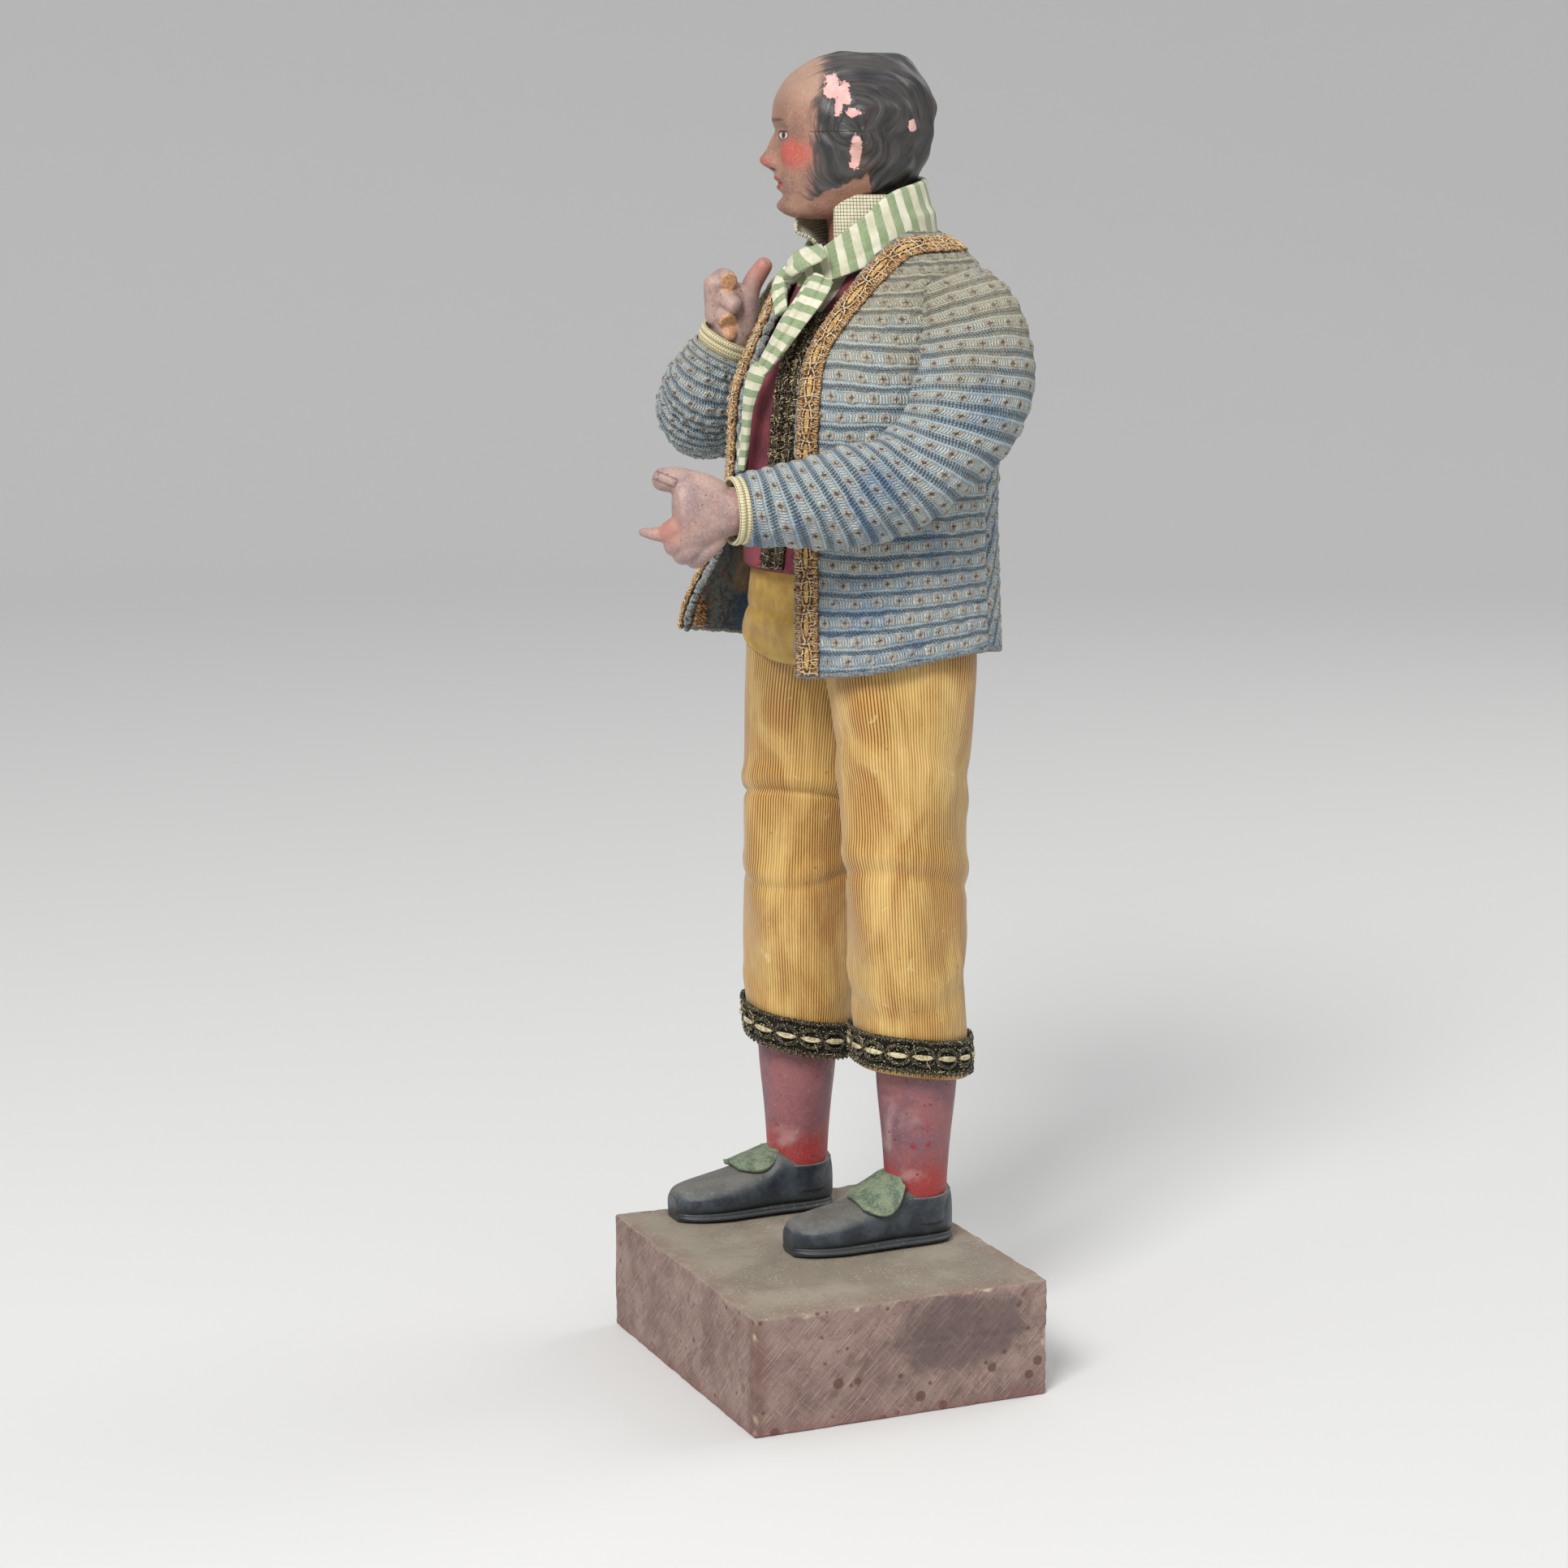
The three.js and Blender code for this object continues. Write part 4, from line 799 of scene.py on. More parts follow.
def cords(name, lines, radius, sides=6, closed=False, stray=0.0):
    """Round threads along lines of points in the figure's mm, one mesh for all of them.

    Their points stray a little from the lines, as wiry thread does."""
    spots, faces = [], []
    odd = np.random.RandomState(len(lines))
    for line in lines:
        line = np.asarray(line, float)
        line = line + odd.normal(size=line.shape) * stray
        ahead = np.roll(line, -1, 0) - np.roll(line, 1, 0)
        if not closed:
            ahead[0], ahead[-1] = line[1] - line[0], line[-1] - line[-2]
        ahead = unit(ahead)
        side = unit(np.cross(ahead, NO_THREAD_RUNS_SO))
        up = np.cross(side, ahead)
        start, count = sum(map(len, spots)), len(line)
        turn = (np.arange(sides) / sides * 2 * np.pi)[None, :, None]
        ring = line[:, None] + radius * (np.cos(turn) * side[:, None] + np.sin(turn) * up[:, None])
        spots.append(ring.reshape(-1, 3))
        for i in range(count if closed else count - 1):
            a, b = start + i * sides, start + ((i + 1) % count) * sides
            faces += [(a + k, a + (k + 1) % sides, b + (k + 1) % sides, b + k) for k in range(sides)]
        if not closed:
            faces.append(tuple(start + k for k in reversed(range(sides))))
            faces.append(tuple(start + (count - 1) * sides + k for k in range(sides)))
    mesh = bpy.data.meshes.new(name)
    mesh.from_pydata(stand(np.concatenate(spots)).tolist(), [], faces)
    mesh.update()
    piece = bpy.data.objects.new(name, mesh)
    bpy.context.scene.collection.objects.link(piece)
    select(piece)
    bpy.ops.object.mode_set(mode="EDIT")
    bpy.ops.mesh.select_all(action="SELECT")
    bpy.ops.mesh.normals_make_consistent(inside=False)
    bpy.ops.object.mode_set(mode="OBJECT")
    bpy.ops.object.shade_smooth()
    return piece


def sew(name, lines, radius, thread, slot, node, **how):
    """Threads sewn to a piece of clothing, with their finish."""
    finish_piece(cords(name, lines, radius, **how), thread, slot, node)


def net(name, dark, bright, glint, shine):
    """The ground of a metal lace: crossing threads over dark gaps, with glints where a thread turns."""
    finish = Finish(name, Roughness=0.45)
    where = finish.place()
    along, across = finish.cloth()
    first = (along + across).wave(1.3)
    second = (along - across).wave(1.3)
    thread = first.size().most(second.size())
    wear_and_sheen = finish.cloud(where, 2.4, 5, 0.7)
    sparks = finish.grains(where, 0.9).rise(0.3, 0.16) * wear_and_sheen.rise(0.42, 0.56)
    colour = finish.mix(thread.rise(0.6, 0.95), dark, finish.mix(wear_and_sheen.rise(0.42, 0.6), bright, dark))
    colour = finish.mix(sparks, colour, glint)
    return finish.done(colour, thread + wear_and_sheen * 0.5 + sparks * 0.6, 0.5, metal=thread.rise(0.7, 0.98) * shine)


def metal_thread(name, dark, bright, glint, metal):
    """A wrapped metal thread: fine slanting turns with painted glints, tarnished in the hollows, bright where the
    tarnish has gone.
    """
    finish = Finish(name, Roughness=0.34, Metallic=metal)
    where = finish.place()
    wear_and_sheen = finish.cloud(where, 1.6, 5, 0.7)
    turns = finish.cloud(finish.stretched(where, 1.5, 1.5, 3.0), 0.6, 3, 0.6)
    colour = finish.mix(wear_and_sheen.rise(0.4, 0.6), dark, bright)
    colour = finish.mix(turns.rise(0.52, 0.64), colour, glint)
    return finish.done(colour, turns + wear_and_sheen * 0.4, 0.35, roughness=turns * -0.3 + 0.5)


dark_net = net("dark_lace_ground", tint(14, 13, 11), tint(54, 48, 36), tint(230, 214, 170), 0.25)
dark_thread = metal_thread("dark_lace_cord", tint(18, 17, 15), tint(58, 53, 41), tint(196, 184, 150), 0.45)
gold_flat = metal_thread("gold_lozenge", tint(170, 148, 100), tint(236, 222, 178), tint(255, 253, 240), 0.3)
glint_thread = metal_thread("braid_glints", tint(176, 148, 88), tint(240, 222, 160), tint(255, 253, 236), 0.2)
TWISTS, GLINTS, HEM_GIRTH = 62, 230, 110
around_hem = np.linspace(0, 1, 361)[:-1]
for side in ("left", "right"):
    trim = "dark_braid", f"knee_braid_{side}"

    def braid_place(s, w, lift):
        """s turns round the hem, w runs from the braid's lower edge up, in mm."""
        angle = 2 * np.pi * np.asarray(s, float) + SEAM_AT
        return breeches_point(side, angle, HEM_LEVEL + HEM_SHOWN[side] + np.asarray(w, float), 0.55 + lift)

    ground = surface(f"knee_braid_ground_{side}", lambda u, v: braid_place(u, v * KNEE_BRAID_WIDTH, 0.0),
                     120, 10, closed=True, wall=0.45, straight=True)
    finish_piece(ground, dark_net, *trim)
    lines = []
    for edge in (0.5, KNEE_BRAID_WIDTH - 0.5):
        for twist in (0, np.pi):
            wind = around_hem * 2 * np.pi * TWISTS + twist
            lines.append(braid_place(around_hem, edge + 0.34 * np.sin(wind), 0.75 + 0.3 * np.cos(wind)))
    sew(f"knee_braid_borders_{side}", lines, 0.3, dark_thread, *trim, closed=True, stray=0.09)
    loops = []
    turn = np.linspace(0, 2 * np.pi, 29)[:-1]
    for k in range(OVALS):
        for size, lift in ((1.0, 0.85), (0.88, 1.1), (0.74, 0.9)):
            s = (k + 0.5) / OVALS + size * 0.5 * np.cos(turn) / OVALS
            loops.append(braid_place(s, KNEE_BRAID_WIDTH / 2 + size * 3.2 * np.sin(turn), lift))
    sew(f"knee_braid_ovals_{side}", loops, 0.27, dark_thread, *trim, closed=True, stray=0.11)
    stitches = []
    for k in range(PICOTS):
        inner, outer = (1.6, -0.5) if k % 2 else (KNEE_BRAID_WIDTH - 1.6, KNEE_BRAID_WIDTH + 0.4)
        s = np.linspace((k + 0.1) / PICOTS, (k + 1.2) / PICOTS, 9)
        stitches.append(braid_place(s, inner + (outer - inner) * np.sin(np.linspace(0, np.pi, 9)), 0.95))
    sew(f"knee_braid_picots_{side}", stitches, 0.22, dark_thread, *trim, sides=5, stray=0.08)
    odd, glints = np.random.RandomState(8), []
    step = np.linspace(-1, 1, 5)
    for k in range(GLINTS):
        s, w, turn = odd.uniform(0, 1), odd.uniform(0.2, KNEE_BRAID_WIDTH - 0.2), odd.uniform(0, 3.1)
        reach = 1.2 if k % 16 == 0 else odd.uniform(0.12, 0.32)
        along, across = reach * np.cos(turn) * step, reach * np.sin(turn) * step
        glints.append(braid_place(s + along / HEM_GIRTH, w + across, 1.2 + 0.2 * (1 - step ** 2)))
    sew(f"knee_braid_glints_{side}", glints, 0.12, glint_thread, *trim, sides=4, stray=0.02)
    lozenges = []
    for k in range(OVALS):
        reach = np.linspace(-1, 1, 13)
        for row in (-0.42, 0.0, 0.42):
            s = (k + 0.5) / OVALS + 0.4 * reach * (1 - 0.2 * abs(row)) / OVALS
            w = KNEE_BRAID_WIDTH / 2 + row * 1.2 * (1 - reach ** 2) ** 0.5
            lozenges.append(braid_place(s, w, 1.0 + 0.5 * (1 - reach ** 2)))
    sew(f"knee_braid_lozenges_{side}", lozenges, 0.33, gold_flat, *trim, stray=0.03)


# Waistcoat
# Crimson wool cloth, cut to a shallow V at the neck. It closes in front under two dark metal laces.
LINING_CLEAR = 2.9
WAISTCOAT_FOOT_ROW, WAISTCOAT_TOP = 0.235, 288.5
jacket_row = course([
    [0, 176, 39.2, 38.0, 34.6, -75, 236, 2.5], [0.18, 196, 38.6, 37.4, 34.4, -76, 239, 2.5],
    [0.42, 226, 38.6, 37.0, 34.2, -77, 242, 2.5], [0.62, 252, 39.6, 36.4, 34.4, -76, 243, 2.5],
    [0.74, 267, 38.6, 31.4, 34.6, -75, 241, 2.5], [0.83, 279, 36.4, 25.0, 34.4, -63, 234, 2.4],
    [0.9, 287.5, 33.0, 20.0, 32.4, -49, 225, 2.3], [0.95, 293.6, 28.0, 16.5, 28.4, -36, 211, 2.2],
    [0.98, 298.0, 22.0, 14.0, 23.0, -19, 196, 2.1], [1, 300.4, 18.4, 12.5, 19.6, 1, 178, 2.1]])


def body_point(row, angle, inward):
    """The jacket's section at a row of its table, some mm in from its outside."""
    height, half_width, front, behind, _, _, boxiness = jacket_row(row)
    c, s = np.cos(angle), np.sin(angle)
    across = np.abs(c / (half_width - inward)) ** boxiness
    deep = np.abs(s / (np.where(s < 0, front, behind) - inward)) ** boxiness
    radius = (across + deep) ** (-1 / boxiness)
    x = radius * c
    rightward = (np.hypot(x, 4) - x) / 2
    return points_of(x, radius * s, height - 0.2 * rightward * ramp(row, 0.55, 0.85))


def chest_point(row, angle, inward):
    """The body's section below the jacket, a little lower at the shoulders."""
    spots = body_point(row, angle, inward)
    spots[..., 2] -= LINING_CLEAR * ramp(row, 0.74, 0.9)
    return spots


even_rows = np.linspace(0, 1, 500)
chest_heights = jacket_row(even_rows)[0] - LINING_CLEAR * ramp(even_rows, 0.74, 0.9)


def waistcoat_point(u, v):
    angle = np.radians(-90 + 360 * u)
    x = chest_point(np.full_like(u, 0.8), angle, LINING_CLEAR)[..., 0]
    edge = 274 + 27 * np.maximum((x - 2) / 18, (2 - x) / 17)
    edge = np.minimum(np.where(np.sin(angle) > -0.2, WAISTCOAT_TOP, edge), WAISTCOAT_TOP)
    top = np.interp(edge, chest_heights, even_rows)
    row = WAISTCOAT_FOOT_ROW + (top - WAISTCOAT_FOOT_ROW) * np.clip((v - 0.05) / 0.95, 0, 1)
    front = bump(np.cos(angle), 0, 0.35) * (np.sin(angle) < 0)
    swell = front * 0.45 * np.sin(row * 38 + 6 * np.cos(angle)) * np.sin(angle * 9)
    spots = chest_point(row, angle, LINING_CLEAR + 1.1 - swell)
    spots[..., :2] *= (0.72 + 0.28 * np.clip(v / 0.05, 0, 1) ** 0.6)[..., None]
    return spots


def crimson():
    finish = Finish("crimson_wool", Roughness=0.85, Sheen_Weight=0.08, Sheen_Roughness=0.5)
    where = finish.place()
    along, across = finish.cloth()
    twill = (along + across).wave(0.75)
    soft = finish.cloud(where, 7, 5, 0.6)
    fuzz = finish.cloud(where, 0.6, 4, 0.8)
    colour = finish.coats(
        (104, 26, 42),
        (soft.rise(0.36, 0.64), 142, 50, 64),
        (fuzz.rise(0.52, 0.7) * 0.5, 184, 90, 100),
        (twill.rise(0.1, 0.9) * 0.3, 80, 18, 32))
    return finish.done(colour, twill * 0.25 + fuzz * 0.7 + soft * 0.6, 0.3)


waistcoat = surface("waistcoat_cloth", waistcoat_point, 150, 90, closed=True, wall=1.0)
finish_piece(waistcoat, crimson(), "crimson_cloth", "waistcoat")


# Waistcoat braids
# Two narrow laces of blackened metal thread, side by side down the front. Each has pairs of glittering
# threads that swell and pinch along its middle, and small loops along both sides.
CHEST_BRAID_WIDTH = 4.8
chest_line = course([[204, -3.5], [237, 0.5], [255, 1.9], [269, 1.2], [281, 5.7]])
CHEST_BRAID_LENGTH = 78.0
CHEST_BRAID_ROWS = (0.238, 0.82)
LOOP_PITCH, STITCH_PITCH = 1.35, 0.75


def chest_braid_place(start):
    def place(s, w, lift):
        foot, top = CHEST_BRAID_ROWS
        row = foot + (top - foot) * np.asarray(s, float) / CHEST_BRAID_LENGTH
        height = jacket_row(row)[0]
        x = chest_line(height)[0] + start + CHEST_BRAID_WIDTH / 2 + w
        front = body_point(row, np.full_like(row, -np.pi / 2), LINING_CLEAR)
        return body_point(row, np.arctan2(front[..., 1], x), LINING_CLEAR - 0.35 - lift)
    return place


def lace(name, place, length, width, period, finishes, slot, node, fine=1.0, mirrored=False):
    """A metal lace: a ground, looped borders, a pair of threads that swells and pinches, a flat middle strip.

    Its finishes are those of the ground, the borders, the pair and the strip."""
    ground_finish, thread_finish, pair_finish, strip_finish = finishes
    way = -1 if mirrored else 1
    ground = surface(f"{name}_ground", lambda u, v: place(length * u, way * (v - 0.5) * width * 0.9, 0.0),
                     int(length / 1.1), 8, wall=0.5, straight=True)
    finish_piece(ground, ground_finish, slot, node)
    s = np.linspace(0.3, length - 0.3, int(length / 0.32))
    swell = np.abs(np.sin(np.pi * s / period)) ** 0.55
    lines = []
    for side_of in (-1, 1):
        w = side_of * width * (0.02 + 0.2 * swell)
        lines.append(place(s, w + 0.1 * np.sin(s * 5.1 + side_of), 0.95 + 0.1 * np.sin(s * 7)))
    sew(f"{name}_pairs", lines, 0.24 * fine, pair_finish, slot, node, stray=0.09)
    borders = []
    phase = 2 * np.pi * s / LOOP_PITCH
    for side_of in (-1, 1):
        middle = side_of * width * (0.36 + 0.03 * swell)
        outer, inner, plain = (width * share * np.cos(turn) for share, turn in (
            (0.15, phase), (0.12, phase + 1.6), (0.1, phase * 0.61 + 2)))
        borders.append(place(s + 0.5 * np.sin(phase), middle + outer, 0.7 + 0.22 * np.sin(phase * 0.5)))
        borders.append(place(s - 0.5 * np.sin(phase), middle + inner, 0.62 + 0.22 * np.cos(phase * 0.5)))
        borders.append(place(s, middle + plain, 0.6 + 0.2 * np.sin(phase)))
    sew(f"{name}_loops", borders, 0.25 * fine, thread_finish, slot, node, sides=5, stray=0.08)
    odd, stitches = np.random.RandomState(len(name)), []
    step = np.linspace(0, 1, 12)
    for k in range(int(length / STITCH_PITCH)):
        run = 0.4 + STITCH_PITCH * k + 1.6 * step * odd.uniform(-1, 1) + 0.2 * np.sin(9 * step + k)
        reach = odd.uniform(0.08, 0.5) if k % 3 else 0.52
        if k % 3:
            w = width * (odd.choice([-1, 1]) * 0.3 + reach * 0.8 * (step - 0.5))
        else:
            w = width * reach * 2 * (step - 0.5)
        stitches.append(place(np.clip(run, 0.2, length - 0.2), w, 0.98 + 0.3 * np.sin(0.4 + 2.3 * step)))
    sew(f"{name}_stitches", stitches[::2], 0.15 * fine, pair_finish, slot, node, sides=5, stray=0.05)
    sew(f"{name}_tangle", stitches[1::2], 0.17 * fine, strip_finish, slot, node, sides=5, stray=0.07)
    strips = []
    for k in range(int(length / period)):
        run = np.linspace((k + 0.16) * period, (k + 0.84) * period, 14)
        bulge = np.sin(np.linspace(0, np.pi, 14)) ** 0.5
        for w in (-0.56, -0.28, 0.0, 0.28, 0.56):
            strips.append(place(run, w * bulge * fine, 0.75 + 0.2 * bulge + 0.05 * np.sin(run * 6)))
    sew(f"{name}_strips", strips, 0.26 * fine, strip_finish, slot, node)


black_ground = net("black_lace_ground", tint(18, 10, 10), tint(46, 30, 26), tint(120, 94, 62), 0.2)
black_thread = metal_thread("black_lace_thread", tint(20, 12, 11), tint(52, 34, 28), tint(168, 140, 96), 0.3)
black_bright = metal_thread("black_lace_pair", tint(46, 38, 30), tint(140, 128, 94), tint(255, 250, 220), 0.4)
odd = np.random.RandomState(3)
SPARKS = 130
for name, start in (("left", 0.3), ("right", -CHEST_BRAID_WIDTH - 0.3)):
    place = chest_braid_place(start)
    trim = "dark_braid", f"waistcoat_braid_{name}"
    lace(f"waistcoat_braid_{name}", place, CHEST_BRAID_LENGTH, CHEST_BRAID_WIDTH, 10.8,
         (black_ground, black_thread, black_bright, black_thread), *trim, fine=0.85, mirrored=True)
    bits = []
    step = np.linspace(-1, 1, 6)
    for k in range(SPARKS):
        share = odd.uniform(0.3, 0.97) if k % 3 else round(odd.uniform(3, 13)) / 13.4 + odd.normal(0, 0.008)
        w = odd.choice([-1, 1]) * odd.uniform(0.12, 0.46) * CHEST_BRAID_WIDTH
        reach, turn = 1.0 if k % 9 == 0 else odd.uniform(0.12, 0.3), odd.uniform(0, 3.1)
        along = 1 + share * (CHEST_BRAID_LENGTH - 2) + reach * np.cos(turn) * step
        bits.append(place(along, w + reach * np.sin(turn) * step, 1.15 + 0.25 * (1 - step ** 2)))
    sew(f"waistcoat_braid_{name}_sparks", bits, 0.13, glint_thread, *trim, sides=4, stray=0.02)


# Shirt
# Coarse cream linen: a plain front below the V of the waistcoat and a standing collar open in front, with
# its right point leaning out. The cuffs show at both wrists.
def shirt_front_point(u, v):
    angle = np.radians(-90 + 360 * u)
    row = 0.64 + 0.36 * v
    return chest_point(row, angle, LINING_CLEAR + 2.0 + 1.6 * ramp(v, 0.8, 1.0) + 0.25 * np.sin(6 * angle + 9 * v))


def collar_point(u, v):
    angle = np.radians(-84 + 330 * u)
    lean = bump(u, 1, 0.09) * ramp(v, 0.15, 0.9)
    radius = 14.4 - 0.6 * v + 8.0 * lean + 0.25 * np.sin(5 * angle + 3 * v)
    return points_of(-0.6 + radius * np.cos(angle), radius * np.sin(angle), 290.6 + v * (20.6 - 8.5 * lean))


def weave(name, pale, shade, pitch=0.62):
    finish = Finish(name, Roughness=0.9, Sheen_Weight=0.2)
    where = finish.place()
    along, across = finish.cloth()
    warp = along.wave(2 * pitch).size()
    weft = across.wave(2 * pitch).size()
    holes = warp.least(weft)
    slub = finish.cloud((along * 0.25, across * 1.4), 1.0, 3, 0.6)
    soft = finish.cloud(where, 6, 4, 0.6)
    colour = finish.mix(soft.rise(0.38, 0.62), pale, tuple(c * 0.86 for c in pale))
    colour = finish.mix(holes.rise(0.42, 0.12), colour, shade)
    colour = finish.mix(slub.rise(0.6, 0.7) * 0.4, colour, tuple(min(1, c * 1.2) for c in pale))
    return finish.done(colour, warp * 0.5 + weft * 0.5 + slub * 0.4, 0.25)


linen_finish = weave("coarse_linen", tint(224, 218, 192), tint(128, 116, 86))
collar_finish = weave("open_linen", tint(222, 216, 190), tint(112, 98, 66), 0.95)
shirt_front = surface("shirt_front", shirt_front_point, 120, 50, closed=True, wall=0.7)
finish_piece(shirt_front, linen_finish, "linen", "shirt")
collar = surface("shirt_collar", collar_point, 130, 34, wall=1.0)
finish_piece(collar, collar_finish, "linen", "shirt")


# Jacket
# A short jacket of thick blue-grey cloth woven in raised bands with small flowers, faded to cream on the
# shoulders. It hangs open; its right front corner is turned out and shows the inside.
CLOTH_WALL = 2.0
CLOTH_INWARD = 1.3
SIDE_SEAMS = (0.3, 0.71)
SEAM_HALF = 0.006
BACK_SLANT = 1.05
CLOTH_ROW, FLOWER_PITCH, FLOWER_LEVEL = 5.7, 6.1, 4.1


def jacket_point(u, v, inward=CLOTH_WALL):
    rows = jacket_row(v)
    left, right = rows[4], rows[5]
    spots = body_point(v, np.radians(left + (right - left) * u), inward)
    flap = bump(u, 1, 0.15) * bump(v, 0, 0.27)
    pleat = bump(u, 0.36, 0.05) * bump(v, 0, 0.3)
    hem = bump(v, 0, 0.16) * (3.4 * bump(u, 0.27, 0.12) - 2.6 * bump(u, 0, 0.12))
    level = np.hypot(spots[..., 0], spots[..., 1])[..., None]
    outward = spots * [1, 1, 0] / level
    return spots + points_of(-14 * flap, -7 * flap, 6.5 * flap + hem) + outward * (2.2 * pleat)[..., None]


def jacket_creases(u, v):
    """Shallow folds of the jacket: drags from the armholes, a wave along the hem, a dip below each arm."""
    drags = 0.5 * np.sin(26 * u + 9 * v) * bump(v, 0.5, 0.22) * (1 - bump(u, 0.5, 0.1))
    back = 0.6 * bump(u, 0.47, 0.03) * bump(v, 0.35, 0.3) - 0.5 * bump(u, 0.56, 0.03) * bump(v, 0.3, 0.3)
    hem = 0.8 * np.sin(31 * u) * bump(v, 0, 0.18) * ramp(u, 0.1, 0.2) * (1 - ramp(u, 0.8, 0.9))
    left, right = SIDE_SEAMS
    behind = ramp(u, left, left + 2 * SEAM_HALF) * ramp(u, right, right - 2 * SEAM_HALF)
    seams = bump(u, left + SEAM_HALF, SEAM_HALF) + bump(u, right - SEAM_HALF, SEAM_HALF)
    back = back - (0.9 * behind + 0.7 * seams) * (1 - ramp(v, 0.45, 0.7))
    edge = ramp(u, 0, 0.08) * (1 - ramp(u, 0.92, 1)) * (1 - ramp(v, 0.9, 1))
    return (drags + back + hem) * edge


def laid_on(point_at, u, v, lift):
    """Points at a height over a surface, along its outward side."""
    step = 1e-3
    low_u, high_u = np.clip(u - step, 0, 1), np.clip(u + step, 0, 1)
    low_v, high_v = np.clip(v - step, 0, 1), np.clip(v + step, 0, 1)
    out = np.cross(point_at(high_u, v) - point_at(low_u, v), point_at(u, high_v) - point_at(u, low_v))
    out /= np.linalg.norm(out, axis=-1, keepdims=True)
    return point_at(u, v) + out * np.asarray(lift)[..., None]


def woven(along, across, spots):
    """The cloth's rows, bent a little, and its relief: pale bands stand out, with a flower every few mm."""
    across = 1.1 * across + 0.6 * waves(spots, 60, 31) + 0.24 * waves(spots, 17, 32)
    row = np.floor(across / CLOTH_ROW)
    level = across - row * CLOTH_ROW
    beside = np.abs((along / FLOWER_PITCH + (row % 2) * 0.5) % 1 - 0.5) * FLOWER_PITCH
    flower = np.hypot(beside, level - FLOWER_LEVEL)
    band = ramp(level, 1.9, 2.7) * (1 - ramp(level, 5.1, 5.7))
    height = 0.24 * band - 0.1 + 0.3 * bump(flower, 1.1, 0.5) - 0.45 * bump(flower, 0, 0.55)
    return along, across, height + 0.16 * waves(spots, 3.1, 33) + 0.05 * waves(spots, 1.5, 34)


def woven_body(along, across, spots):
    """The body's cloth: its back piece, between the side seams, is cut on the slant."""
    u = np.linspace(0, 1, spots.shape[1])[None, :] + 0 * along
    behind = (u > SIDE_SEAMS[0] + SEAM_HALF) & (u < SIDE_SEAMS[1] - SEAM_HALF)
    c, s = math.cos(BACK_SLANT), math.sin(BACK_SLANT)
    return woven(np.where(behind, along * c + across * s, along), np.where(behind, across * c - along * s, across), spots)


